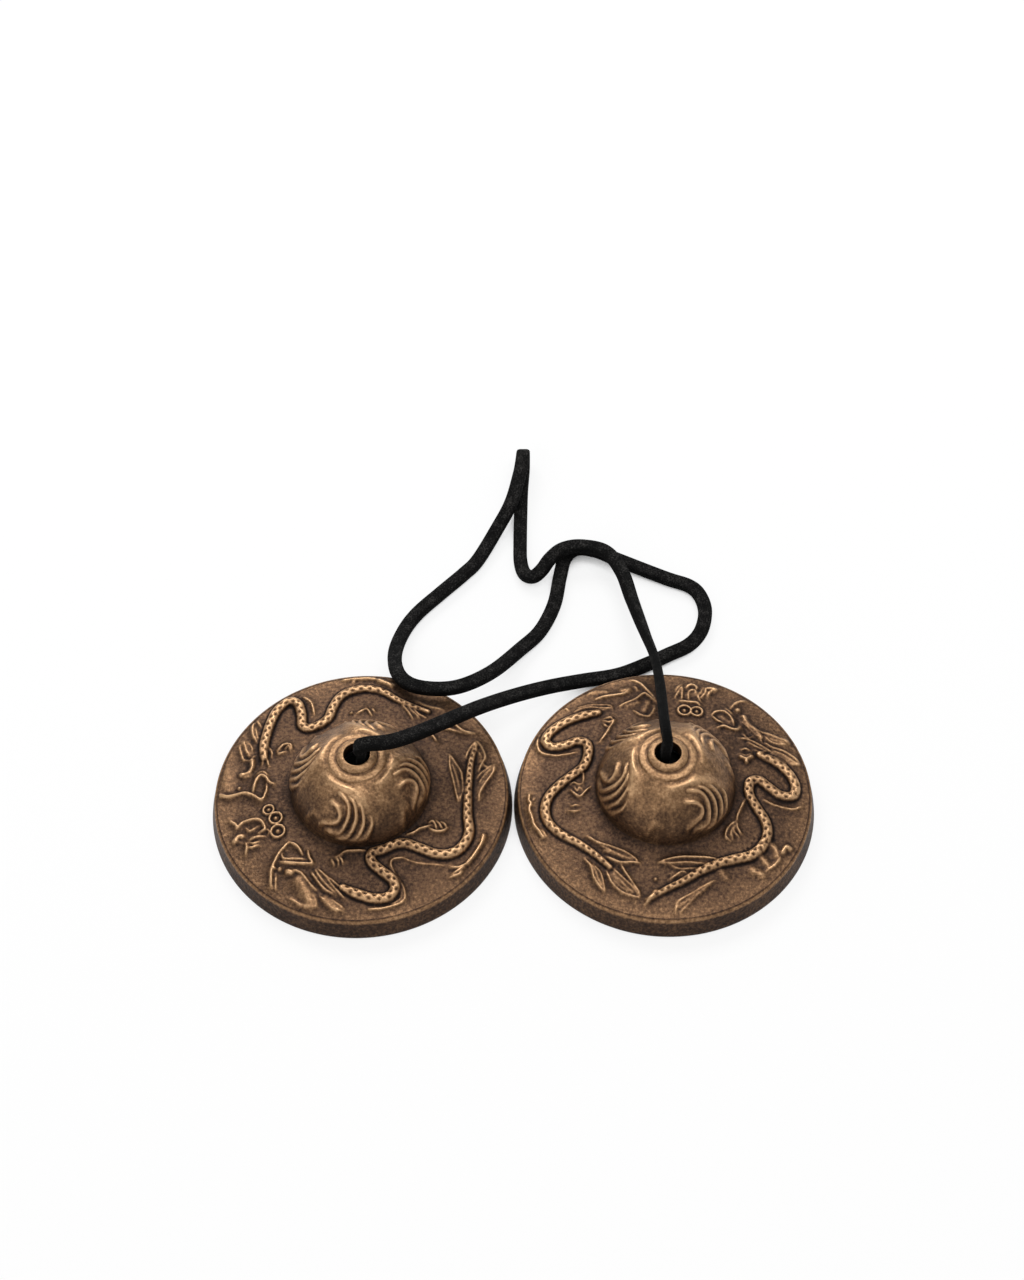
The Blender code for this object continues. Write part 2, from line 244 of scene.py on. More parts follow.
# Each carved line stands on a broad low skirt: factors of its table's width and height
LINE_WIDENING = 1.2
SKIRT_WIDENING = 3
SKIRT_SHARE = 0.55

# The tone that relief adds, for standing out of what is round it and for its height. What stands out is lighter, as
# rubbed wear, and the hollows between are darker, as painted shade
STANDING_BLUR = 14
STANDING_WEAR_AND_SHADE = 1.9
HEIGHT_WEAR = 0.24

# Bands of tone on the rim and collar: radius from and to, height from and to, tone. A later band wins. They paint
# light: a painted highlight along the rim's top edge, a painted shadow line where the lip meets the plate, painted
# shade on the rim's side wall and in the collar's groove; the collar's top is lightest
RIM_WEAR = 0.36
WEAR_AND_PAINTED_LIGHT_BANDS = [
    (3.0, 40, 20, 30, 0.74),
    # painted shade in the collar's groove
    (4.6, 5.05, 20.9, 30, 0.4),
    # painted highlight along the rim's top edge
    (33.7, 40, 4.9, 30, 0.66),
    # painted shadow line where the lip meets the plate
    (33.1, 33.6, 5.0, 30, 0.22),
    # painted shade on the rim's outer side wall
    (34, 40, -1, 4.5, 0.24),
]

# Colours from the darkest tone to the lightest
BRONZE_TONES = [
    (0.0, (0.012, 0.006, 0.004)), (0.22, (0.05, 0.026, 0.015)), (0.45, (0.13, 0.07, 0.036)),
    (0.68, (0.3, 0.168, 0.082)), (1.0, (0.62, 0.38, 0.2)),
]
SUEDE_TONES = [
    (0.0, (0.0006, 0.0006, 0.0006)), (0.42, (0.003, 0.0029, 0.0028)), (1.0, (0.09, 0.085, 0.08)),
]

# Dragon bodies, neck to tail, from the cymbal's axis
LEFT_BODIES = [
    [(-23, 9), (-23.3, 13), (-22.8, 17), (-22, 20.5), (-20.8, 23.6), (-18.3, 26), (-16.1, 25),
     (-15, 21.5), (-14.6, 18.3), (-13, 17.2), (-10.4, 18.2), (-8.5, 20.2), (-7.7, 23.2),
     (-6.2, 26.6), (-3.6, 28.6), (0, 29.4), (4, 28.4), (7.5, 25.9), (11, 24), (15, 22.3)],
    [(-3, -25.8), (0, -27.2), (4, -28.4), (7.2, -28), (8.7, -26), (8, -23.8), (5.6, -21.8),
     (3.3, -19.6), (3.3, -17.6), (6, -16.5), (8.2, -15.3), (10.8, -14.9), (14, -15.9), (18, -17.2),
     (21.6, -16.7), (24.1, -14.3), (25.2, -11), (24.8, -7), (24.8, -2), (25, 3), (25.4, 8), (26.5, 13)],
]
RIGHT_BODIES = [
    [(22.5, 9.3), (26, 7.5), (29, 4.5), (30.3, 1), (29.4, -1.6), (26.6, -1.7), (24, 0.3), (21.8, 2),
     (19.7, 1.2), (19.3, -2), (20.8, -5.5), (22.6, -9), (22.8, -12.4), (21.3, -15.6), (18.6, -17.9),
     (15, -19), (11, -20.3), (7, -22.2), (3, -24.6), (-1, -26.6), (-4.6, -28.7)],
    [(-15, 21.7), (-18.5, 21), (-22.5, 19.5), (-26, 17), (-27.5, 14.2), (-26, 12.2),
     (-23, 12.4), (-20, 13.4), (-17.9, 12.4), (-17.6, 9.6), (-18.7, 6), (-21.2, 3.8), (-24.6, 1),
     (-27, -2), (-27.8, -5.5), (-26.8, -9), (-24, -12), (-20, -14.7), (-16.5, -17.6), (-13.3, -20.8)],
]

# Broad low forms: half width, height, points. Fins, jaws, cheeks and paws
LEFT_MASSES = [
    (1.4, 0.5, [(-28.3, 14), (-27.5, 12), (-26.6, 10.5)]),
    (1.0, 0.9, [(-28, 4.7), (-26.5, 5), (-25.7, 6.5), (-25.8, 8.5)]),
    (1.0, 0.9, [(-28.3, -13), (-27.5, -12), (-26.7, -12)]),
    (1.1, 1.1, [(-15.6, -21.6), (-14.8, -21.9)]),
    (2.4, 0.8, [(-13, -24), (-11.5, -26.5), (-10.3, -29)]),
    (1.5, 0.6, [(-7, -28.5), (-4, -30.8)]),
    (1.7, 0.5, [(-8.5, -23), (-4.5, -27)]),
    (0.9, 0.5, [(-4.6, -18.3), (-3.6, -18)]),
    (0.75, 0.9, [(28.5, -11.8), (28.2, -13.5), (27.2, -15.5), (26.2, -17.3), (24.8, -19.3)]),
    (1.1, 0.8, [(28.5, -12.3), (28.2, -13.4)]),
    (1.0, 0.6, [(24, -20), (22.3, -21.6)]),
    (1.0, 0.9, [(3, 32), (4.5, 31.3), (6, 30.5)]),
    (0.9, 0.6, [(-5.3, 32.3), (-2, 32.5), (2, 32.6)]),
    (1.2, 0.45, [(20.8, 8.6), (21.8, 5), (22.7, 0), (22.8, -2.6)]),
    (1.5, 0.45, [(30, 6.5), (28.8, 4), (27.9, 1), (27.5, -1.5)]),
    (1.2, 0.4, [(27.5, 11.5), (27.8, 8)]),
    (1.5, 0.4, [(9.5, 23.5), (12.5, 21)]),
    (1.0, 0.5, [(19.5, 17.3), (25, 16.4)]),
    (2.2, 0.35, [(-31.5, 6), (-31, 1)]),
    (1.2, 0.4, [(17, -10.4), (19, -10.4)]),
]
RIGHT_MASSES = [
    (1.4, 0.7, [(-9, 28.3), (-7.5, 28.6)]),
    (1.3, 0.45, [(-17, 28.3), (-13, 28.2)]),
    (1.3, 0.5, [(-8, 23.6), (-5.5, 24.6)]),
    (1.4, 0.5, [(-4, 22), (-3, 24.5)]),
    (2.1, 0.45, [(-20, 0.5), (-19.4, -1)]),
    (0.9, 0.6, [(-29.3, -11), (-28.3, -12.2)]),
    (1.4, 0.45, [(-14, -16.5), (-8.3, -19.1)]),
    (1.3, 0.45, [(-17, -21), (-15.3, -25)]),
    (1.7, 0.5, [(-12.5, -23), (-8.7, -26.8)]),
    (1.0, 0.6, [(-5, -29), (-3, -27)]),
    (1.4, 0.45, [(-0.5, -20.2), (9, -20)]),
    (1.5, 0.35, [(1, -23), (5, -22.8)]),
    (0.9, 0.4, [(2, -30.5), (6, -27.5), (9, -25.2)]),
    (1.2, 0.6, [(15.3, -10.8), (14.3, -13)]),
    (1.3, 0.6, [(23, -14.5), (24.5, -16), (24.8, -17.5)]),
    (1.3, 0.5, [(21, -18), (22.5, -20)]),
    (1.6, 0.7, [(19, -21.7), (20.7, -22.4)]),
    (0.9, 1.0, [(26, -16.7), (27, -15.3), (27.6, -15.6)]),
    (1.0, 0.8, [(19.5, 20.5), (20.3, 18.5), (22, 16.5), (23.3, 14.5)]),
    (2.2, 0.5, [(25, 14.5), (28.5, 13.6)]),
    (1.8, 0.45, [(26, 10), (30, 8)]),
    (0.9, 0.9, [(18, 8.3), (19.3, 7.8), (20.5, 8.6)]),
    (1.6, 0.5, [(14.5, 20), (16, 18.6)]),
    (1.5, 0.4, [(6.5, 27), (11.5, 27.8)]),
    (1.4, 0.4, [(11.7, -22), (12.6, -23.4)]),
]

# Thin raised lines: half width, height, points. Veins, lips, whiskers, claws and outlines
LEFT_LINES = [
    (0.4, 0.6, [(-23.5, 13.5), (-24, 11), (-23.3, 8.7), (-23.4, 7.2)]),
    (0.4, 0.6, [(-23, 13), (-22.8, 10), (-22.2, 8.2), (-21.8, 6.7)]),
    (0.35, 0.5, [(-22.3, 12.5), (-21.3, 10.5), (-21.4, 9.2)]),
    (0.45, 0.8, [(-20, 11), (-18.6, 12.5), (-17, 12.4), (-16.6, 11)]),
    (0.4, 0.8, [(-18.3, 11.2), (-17.5, 12), (-16.9, 10.7)]),
    (0.4, 0.7, [(-20, 10.8), (-19.5, 10), (-18, 10.6)]),
    (0.4, 0.6, [(-26.2, 21), (-26.5, 19), (-26.3, 16.5), (-25.2, 14)]),
    (0.35, 0.5, [(-25.7, 20.7), (-24.6, 18.7)]),
    (0.35, 0.5, [(-25.8, 18.5), (-25.4, 16.5), (-24.8, 14.8)]),
    (0.4, 0.5, [(-29.3, 13.5), (-28.8, 11.5), (-28, 9.2), (-27.3, 8.8)]),
    (0.35, 0.5, [(-28.3, 14.2), (-27.6, 12), (-26.7, 10)]),
    (0.35, 0.5, [(-27.3, 14.2), (-26.3, 12.5), (-25.9, 11)]),
    (0.4, 0.6, [(-27, 8.8), (-26.3, 8.5), (-25.5, 10)]),
    (0.5, 0.6, [(-28.4, 4.6), (-27, 3.9), (-25.5, 4.7)]),
    (0.6, 0.9, [(-25, -0.3), (-24.5, 2.5), (-23.5, 4), (-22.3, 3.5), (-21.3, 2), (-20.2, 1.5)]),
    (0.5, 0.6, [(-24.8, 4.2), (-23.6, 5), (-22.4, 4.7), (-21.4, 3)]),
    (0.5, 0.7, [(-22, 1.7), (-21.8, 0), (-22.4, -2.3)]),
    (0.5, 0.9, [(-33, -0.3), (-31, -1.1), (-29, -0.9), (-27, -0.5), (-25, -1.3), (-23.2, -2.6),
                (-22.3, -2.2), (-21.8, 0)]),
    (0.4, 0.5, [(-15, 27.3), (-13.3, 25.8), (-12.5, 24), (-12, 21.5)]),
    (0.5, 0.8, [(-27.3, -8.5), (-25.5, -8), (-23.5, -7.8), (-22.3, -8.6), (-21.5, -10.3), (-22, -10.9),
                (-23, -11.5)]),
    (0.35, 0.6, [(-21.2, -10.4), (-20.5, -11.2), (-20.8, -12.1)]),
    (0.4, 0.5, [(-26, -9.8), (-25, -10.7), (-23.2, -9.6)]),
    (0.5, 0.7, [(-29.8, -7.7), (-28.5, -8.7), (-27.9, -9.5), (-26.8, -8.4), (-25, -7.8)]),
    (0.45, 0.7, [(-25, -13), (-23.8, -12.5), (-21.5, -12.3)]),
    (0.4, 0.7, [(-25.2, -13.7), (-24, -14), (-22.6, -13.5)]),
    (0.4, 0.7, [(-25.5, -14.6), (-24.3, -15), (-22.8, -14.4)]),
    (0.4, 0.9, [(-25.7, -13.8), (-25.4, -15), (-25.6, -16.5)]),
    (0.4, 0.5, [(-28.6, -13.6), (-27.8, -13.3), (-26.8, -13.4)]),
    (0.5, 0.8, [(-15.8, -14.2), (-16.8, -15.5), (-17.9, -17), (-18.8, -19), (-19.4, -21), (-19.4, -23),
                (-19.3, -25)]),
    (0.45, 0.8, [(-15.5, -14.3), (-14, -15.2), (-13, -16.5), (-12.5, -17.5)]),
    (0.45, 0.7, [(-17.3, -16.7), (-16.8, -18.3), (-14.5, -18.5), (-11.5, -18.8)]),
    (0.5, 0.8, [(-17.5, -19), (-15, -19.5), (-12, -19.8), (-10.2, -19.8), (-10.9, -18.3), (-11.3, -16.6)]),
    (0.35, 0.5, [(-18.3, -22), (-18.3, -25.6)]),
    (0.5, 0.7, [(-15, -21), (-13, -21.8), (-11.8, -23), (-10.5, -24.8), (-9, -26.3)]),
    (0.45, 0.5, [(-14.5, -28.2), (-12, -29.8), (-9.5, -30.3), (-8.8, -29.5), (-9.2, -27.5)]),
    (0.35, 0.7, [(-10.2, -22), (-9, -23.8), (-7.2, -26), (-5, -27.5)]),
    (0.35, 0.7, [(-9.3, -21.5), (-8.3, -23.2), (-6.4, -25.5), (-4.6, -27.2)]),
    (0.35, 0.7, [(-8.8, -21.2), (-7.2, -22.8), (-5.6, -25), (-4, -26.8), (-2.7, -28.2)]),
    (0.35, 0.6, [(-7.8, -22.3), (-6, -23.6), (-4, -25.4), (-2.8, -26.6)]),
    (0.4, 0.6, [(-8.2, -27.6), (-6.8, -29.2), (-5, -30.9), (-2.8, -31.3)]),
    (0.35, 0.5, [(-5.5, -28.5), (-3.5, -30), (-2.5, -30.8)]),
    (0.5, 0.7, [(1.6, -16.9), (-1, -17), (-2.8, -17.2), (-4.2, -18.2)]),
    (0.4, 0.7, [(-5.8, -18.9), (-5.2, -20.3)]),
    (0.4, 0.7, [(-5, -18.4), (-4.3, -19.3), (-4.2, -20.4)]),
    (0.4, 0.7, [(-4.3, -18.1), (-3.4, -19.3), (-3.3, -20)]),
    (0.45, 0.8, [(11.2, -12.7), (12.5, -12.3), (14, -11.2), (15.5, -10.6), (16.6, -10)]),
    (0.4, 0.8, [(16, -9.4), (16.8, -9), (17.5, -10), (17.8, -11.3)]),
    (0.4, 0.9, [(17.6, -8.8), (18.3, -9.6), (19.2, -11)]),
    (0.4, 0.8, [(18.8, -9), (19.7, -9.8), (20, -10.8)]),
    (0.4, 0.9, [(16, -10.8), (17.5, -11.6), (19.3, -11.4), (20.2, -10.4)]),
    (0.3, 0.4, [(11, -12), (11.5, -13)]),
    (0.3, 0.5, [(10.5, -18.3), (8.2, -18.8), (7.6, -20), (8.4, -22), (10.2, -24.8), (10.9, -26.8),
                (10.9, -28.3), (9.5, -29.6), (6, -30.7), (3, -30.9)]),
    (0.3, 0.4, [(7.2, -20), (7.9, -22.2), (9.5, -24.6), (10.2, -26.8), (10, -28.4), (8, -29.8)]),
    (0.3, 0.3, [(10, -18.3), (13, -19.4), (16, -19.7), (19.5, -19.8)]),
    (0.4, 0.8, [(24.8, -19.2), (23, -20.3), (21.2, -20.2)]),
    (0.4, 0.8, [(24.3, -20), (22.8, -21.2), (21.3, -22.2)]),
    (0.4, 0.7, [(24, -20.6), (23, -22), (21, -22.8)]),
    (0.5, 0.7, [(-5.8, 32.2), (-4, 32.9), (-2, 32.5), (-0.6, 32.9), (2, 32.7)]),
    (0.4, 0.5, [(-3.6, 31.3), (-2.4, 32.3)]),
    (0.4, 0.7, [(-1.8, 21.5), (-0.5, 22.3), (0.4, 23)]),
    (0.4, 0.7, [(0.2, 23.2), (1, 22), (1.7, 20.8)]),
    (0.35, 0.6, [(1.8, 23), (2.4, 21.8)]),
    (0.35, 0.6, [(8.5, 24.5), (10, 22.5), (11.5, 20)]),
    (0.35, 0.6, [(10, 24), (11.5, 22), (13, 20.3)]),
    (0.35, 0.6, [(11.5, 23), (13, 21.3), (14.5, 20.5)]),
    (0.5, 0.8, [(19.5, 17.7), (21, 18.8), (22.5, 17.5), (24, 16.6), (26, 16.4)]),
    (0.35, 0.5, [(18, 17), (20.5, 17), (22.5, 16.3), (25.5, 16)]),
    (0.4, 0.7, [(15.5, 15.3), (16.3, 14.8), (17.3, 13.3)]),
    (0.5, 0.5, [(12, 25.5), (15, 24), (18.5, 23.3)]),
    (0.35, 0.6, [(20.4, 9.7), (20.6, 6), (21.5, 2), (22.5, -3.2)]),
    (0.35, 0.6, [(20.4, 9.7), (21.8, 7.3), (23.2, 4.5), (23.6, 0), (22.9, -3.2)]),
    (0.3, 0.5, [(21, 7), (22.3, 3), (23, 0)]),
    (0.35, 0.6, [(30.9, 7.6), (30.6, 5.5), (29, 2.5), (27.6, -0.5), (27.3, -2.5)]),
    (0.3, 0.5, [(30.3, 6.5), (28.5, 4.3), (27.2, 2)]),
    (0.3, 0.5, [(29.7, 6.8), (28, 5.2), (27, 3.7)]),
    (0.35, 0.5, [(30.9, 7.6), (29, 6.8), (27.6, 8.5)]),
    (0.35, 0.6, [(24.2, 9.2), (25, 11.5), (26.6, 13.9), (28, 12), (28.7, 9.5), (28, 7.8), (27.2, 5.5)]),
    (0.3, 0.5, [(26.8, 11.5), (27.8, 9.5)]),
]
RIGHT_LINES = [
    (0.35, 0.5, [(-29.4, 15.5), (-29.4, 13), (-28.7, 11), (-26.5, 9.9), (-24.5, 9.6), (-22, 9.8),
                 (-20.3, 10.2)]),
    (0.35, 0.5, [(-20.5, 22.5), (-19, 23.2), (-17, 23.6), (-15, 23.3), (-13, 23.1), (-11.6, 23.2)]),
    (0.3, 0.5, [(-22.9, 24), (-22, 23)]),
    (0.3, 0.4, [(-20.3, 22), (-18, 22.3), (-15.5, 22.6), (-13, 22.6)]),
    (0.3, 0.4, [(-20, 23.6), (-17, 24.3), (-14, 24.2), (-12, 23.9), (-11.5, 23)]),
    (0.6, 0.9, [(-15.3, 26), (-13, 26.6), (-11, 26.8), (-9, 27.2), (-7.5, 28)]),
    (0.4, 0.6, [(-6, 29.7), (-5.3, 28.5)]),
    (0.4, 0.6, [(-6.5, 32), (-4.5, 30.5), (-3, 28.3), (-1.8, 26.5), (-1.2, 25)]),
    (0.4, 0.7, [(-9.8, 23.5), (-8, 24.5), (-6, 25.5), (-4, 27.3), (-3, 26.8), (-1.5, 25)]),
    (0.5, 0.6, [(-6.5, 22), (-5, 20.5), (-3, 20), (-1.8, 22), (-1.7, 23.5)]),
    (0.45, 0.7, [(-13.8, 19.2), (-12.5, 18.5), (-11.3, 19), (-12.3, 17), (-13.3, 15), (-14.8, 12.7)]),
    (0.4, 0.6, [(-13.5, 19.8), (-12, 20), (-11.4, 18.8)]),
    (0.4, 0.6, [(-14, 18.5), (-13, 17.3), (-12.3, 17.5)]),
    (0.4, 0.5, [(-19, 5), (-18.8, 3), (-19, 1.5)]),
    (0.35, 0.6, [(-22, 1), (-21, 1.5), (-20, 0.8), (-19, 1.2)]),
    (0.4, 0.7, [(-21.8, -0.5), (-20.5, -2), (-19.5, -2.3), (-18.3, -1), (-17.3, 0)]),
    (0.35, 0.6, [(-21, 0.3), (-20.4, -1), (-19.8, 0), (-19, -1)]),
    (0.4, 0.6, [(-21.8, -4.8), (-20.8, -4.6), (-19.8, -4.8)]),
    (0.5, 0.7, [(-22.2, -6), (-21, -6.3), (-19.9, -6)]),
    (0.55, 0.8, [(-31.4, -0.7), (-31.5, -2.5), (-31, -3.3), (-31.4, -4.3), (-31.3, -5.5), (-30.8, -7),
                 (-30.5, -8.6), (-29.8, -10), (-29, -11), (-28.5, -12.3)]),
    (0.35, 0.5, [(-30.8, -2.5), (-30.2, -1.8)]),
    (0.4, 0.6, [(-29, -10.2), (-28.2, -11), (-27.5, -12.2)]),
    (0.35, 0.6, [(-18.2, -12.9), (-16, -14.5), (-13, -15.8), (-10, -17.2), (-8, -18.6), (-6.7, -20)]),
    (0.35, 0.5, [(-15.5, -15.3), (-13.5, -16.5), (-10.5, -18.3), (-8, -19.5)]),
    (0.3, 0.5, [(-14.5, -16.8), (-12, -17.8), (-9, -19.5)]),
    (0.4, 0.7, [(-14, -18.3), (-11, -19.8), (-8.5, -19.9), (-6.5, -20.1)]),
    (0.4, 0.6, [(-18.8, -18.6), (-17.6, -20.5), (-17, -23), (-16, -25), (-14.8, -26.6)]),
    (0.35, 0.5, [(-18.3, -19), (-16.8, -21), (-16, -23.5), (-15, -26)]),
    (0.3, 0.5, [(-17, -20), (-15.5, -22), (-14.8, -24.5), (-14.6, -26.7)]),
    (0.4, 0.6, [(-12.3, -21.5), (-11, -23), (-9.8, -24.3), (-8.2, -26), (-7, -28)]),
    (0.4, 0.6, [(-10.8, -20.2), (-10, -22), (-8.5, -24.5), (-7, -27), (-6.8, -28.2)]),
    (0.4, 0.6, [(-14, -22), (-13, -24.5), (-11, -26.8), (-8.5, -28), (-6.8, -28.3)]),
    (0.3, 0.5, [(-12.8, -24), (-11, -25.8), (-9, -27.3)]),
    (0.3, 0.5, [(-11.3, -23.7), (-9.8, -25.8), (-8, -27.6)]),
    (0.4, 0.6, [(-5.6, -30), (-4, -28), (-3.3, -26.8)]),
    (0.4, 0.7, [(-2.2, -20), (0.5, -19.2), (3, -18.8), (6, -18.8), (9, -18.9), (11.5, -19.3)]),
    (0.35, 0.6, [(-2.2, -20.1), (1, -20.3), (4, -20.1), (7, -20.3), (9.5, -20.4)]),
    (0.35, 0.5, [(0, -20.6), (2, -21.5), (4, -21.6), (7, -21.3), (8.5, -20.8)]),
    (0.4, 0.6, [(0, -24.3), (1.5, -23.2), (3, -22.3), (4.2, -22.8)]),
    (0.4, 0.5, [(1, -32), (1.5, -30), (2.3, -29), (4, -28), (6, -26.8), (8, -25.5), (10.3, -24.2)]),
    (0.3, 0.35, [(2, -32), (4, -30), (6, -28), (8.5, -26)]),
    (0.45, 0.6, [(18.3, -3.5), (17.3, -5.5), (16.3, -7.8), (16, -9.2)]),
    (0.45, 0.7, [(16, -9.3), (14.5, -10.5), (13.5, -12), (13.2, -13.5), (14.2, -14.5)]),
    (0.4, 0.7, [(16, -9.3), (16, -11), (16.8, -12.7)]),
    (0.35, 0.6, [(15.5, -10.5), (15.2, -12), (16.3, -13.5)]),
    (0.35, 0.6, [(14.8, -11), (14.5, -12.5), (14.8, -14)]),
    (0.5, 0.6, [(25.5, -18), (24, -20), (22, -21.5)]),
    (0.35, 0.5, [(22.7, -3.2), (24.5, -4.3), (27, -5), (29.5, -5.2), (31.3, -4.3)]),
    (0.5, 0.8, [(4.5, 25), (6.5, 24.5), (8.5, 24.4), (9.2, 23.7)]),
    (0.35, 0.6, [(3.6, 28), (4.3, 29.3), (5.3, 30.3)]),
    (0.35, 0.6, [(3.5, 26.2), (4.2, 27.5), (5.3, 29.3), (5.2, 27), (5, 25.3)]),
    (0.4, 0.6, [(6.2, 29.3), (7.5, 30.3), (8.8, 29.5), (8.5, 28.5)]),
    (0.4, 0.6, [(6.7, 25.5), (6.8, 27.5), (7.7, 28.5), (8.6, 28), (8.3, 27)]),
    (0.4, 0.6, [(9.5, 25), (9, 26.5), (9.7, 27.5), (10.4, 29.5)]),
    (0.45, 0.7, [(9.6, 26), (10.8, 27.5), (11.2, 29), (13.4, 28.8), (12, 28), (11.2, 26.5)]),
    (0.45, 0.7, [(12, 20.8), (13, 21.7), (14.8, 21.9), (16, 20.8), (16.8, 19.2), (17, 17.8)]),
    (0.45, 0.7, [(12, 20.5), (13, 19), (14.8, 18.2)]),
    (0.6, 0.9, [(13, 16.7), (14.5, 17.2), (16, 16.5), (17.5, 16.3), (18.5, 17.3)]),
    (0.4, 0.6, [(15.5, 22.9), (16.3, 21.8), (17, 21.3)]),
    (0.35, 0.5, [(16.5, 23), (17.8, 24.6), (19.2, 25.4), (20.5, 25.5)]),
    (0.4, 0.5, [(19, 19), (20.5, 17), (22.5, 14.5), (23.5, 12.8)]),
    (0.35, 0.6, [(22, 17), (23.5, 16), (25.5, 15.5), (28, 14.3)]),
    (0.35, 0.6, [(24, 15), (25.2, 13.5), (27, 12.8), (29.5, 13)]),
    (0.35, 0.6, [(24.5, 16), (26.5, 15), (29, 14), (29.8, 13.3)]),
    (0.3, 0.5, [(24.5, 14.5), (26.5, 13.8), (29, 13.4)]),
    (0.35, 0.6, [(24, 13), (25.5, 11.8), (28, 11), (30.5, 9.3), (31.7, 7.8)]),
    (0.35, 0.6, [(25.5, 10.8), (28, 9.8), (30.5, 8), (31.5, 7.3), (30, 7.2)]),
    (0.35, 0.6, [(26, 9), (28, 7.8), (28.8, 6.5)]),
    (0.35, 0.6, [(18, 14), (20, 13.6), (22, 12.6), (24, 11.3), (25.5, 10.3)]),
    (0.35, 0.5, [(19, 15.3), (20, 14), (21.3, 14.6)]),
    (0.35, 0.6, [(20, 12.8), (22, 11.5), (24, 10.8)]),
    (0.4, 0.6, [(21.3, 10.7), (23, 10), (24.5, 10.8)]),
    (0.35, 0.6, [(18.3, 10.5), (19.3, 10.8), (20.3, 10.4)]),
    (0.4, 0.6, [(18, 9.3), (19.2, 8.8), (20.5, 9.5)]),
]

# Ringed pearls: centre, ring radius. Beads: centre, radius
LEFT_PEARLS = [(-21, -5.5, 1.2), (-19.2, -7.8, 1.45), (-18.5, -11.2, 1.55)]
RIGHT_PEARLS = [(5.5, 21.9, 1.5), (8.4, 21.6, 1.35)]
LEFT_BEADS = [(-28.3, 1, 0.45), (-18.8, -20.6, 0.5), (-17.5, -20.8, 0.5), (-3.1, 21.6, 0.35)]
RIGHT_BEADS = [(18.2, 22.5, 0.7), (19.2, 7, 0.55), (-3.1, -24, 0.35)]
LEFT_PITS = [(-25.5, -6.4), (-4, 32.2), (-2.4, 31.8), (4.5, 31.3), (26.2, 12)]
RIGHT_PITS = [(20, -21.6), (20.8, -22.9), (19.6, -23.2), (-3.3, -27.3)]

# One fan of cloud ridges on the boss, repeated round it
FAN = [
    (0.7, 0.75, [(-14.8, 1), (-13.8, -2.4), (-12.6, -3.2), (-11.5, -2), (-11.2, 0)]),
    (0.7, 0.8, [(-15.2, -0.6), (-14.5, -4), (-12, -4.9), (-9.9, -3.8), (-9, -1)]),
    (0.7, 0.8, [(-15.5, -2.6), (-14.2, -5.8), (-11.6, -6.6), (-9.4, -5.2), (-8.7, -3)]),
    (0.7, 0.8, [(-15.2, -4.7), (-13.6, -7.5), (-11.2, -8.3), (-9.2, -7), (-8.5, -5.5)]),
    (0.7, 0.75, [(-14.4, -6.8), (-12.2, -9.3), (-10, -9.8), (-8.9, -8.6)]),
    (2.0, 0.7, [(-7.7, 2.5), (-7.5, -1), (-7.7, -4), (-8.4, -7), (-9.3, -9.6)]),
    (1.0, 0.6, [(-5, -14.7), (-3.4, -13.9), (-1.8, -14.2)]),
]
LEFT_FANS = (150, 240, 330, 60)
RIGHT_FANS = (0, 110, 200, 290)

LEFT_CARVING = {
    "bodies": LEFT_BODIES, "masses": LEFT_MASSES, "lines": LEFT_LINES, "pearls": LEFT_PEARLS,
    "beads": LEFT_BEADS, "pits": LEFT_PITS, "fans": LEFT_FANS,
}
RIGHT_CARVING = {
    "bodies": RIGHT_BODIES, "masses": RIGHT_MASSES, "lines": RIGHT_LINES, "pearls": RIGHT_PEARLS,
    "beads": RIGHT_BEADS, "pits": RIGHT_PITS, "fans": RIGHT_FANS,
}

# The collar's outline from the dome's cut edge to the inside of the hole: radius, height
COLLAR_OUTLINE = [
    (COLLAR_RADIUS + 0.12, 20.18), (6.6, 20.55), (6.5, 20.75), (6.25, 20.86), (5.4, 20.95), (5.0, 21.0),
    (4.78, 20.98), (4.66, 21.05), (4.58, 21.3), (4.5, 21.62), (4.3, 21.82), (3.9, 22.0), (3.4, 22.14),
    (3.2, COLLAR_TOP), (3.05, COLLAR_TOP - 0.06), (2.96, COLLAR_TOP - 0.2), (HOLE_RADIUS, 21),
    (HOLE_RADIUS, 19.3), (3.05, 19.2), (5.2, 19.15),
]
# The underside, the resting face and the worn outside of the rim: radius, height
RIM_OUTLINE = [
    (14.1, 5.2), (18, 4.6), (22, 4.05), (25.6, 3.51), (26.5, 3.0), (27.2, 2.3), (28.05, 0.12), (28.35, 0),
    (34.75, 0), (34.93, 0.08), (35, 0.3), (34.86, 1.2), (34.5, 2.8), (34.18, 4.3), (34.06, 4.95),
    (33.95, 5.13), (33.8, 5.2), (33.45, 5.42), (33.33, 5.44), (33.2, 5.36),
]

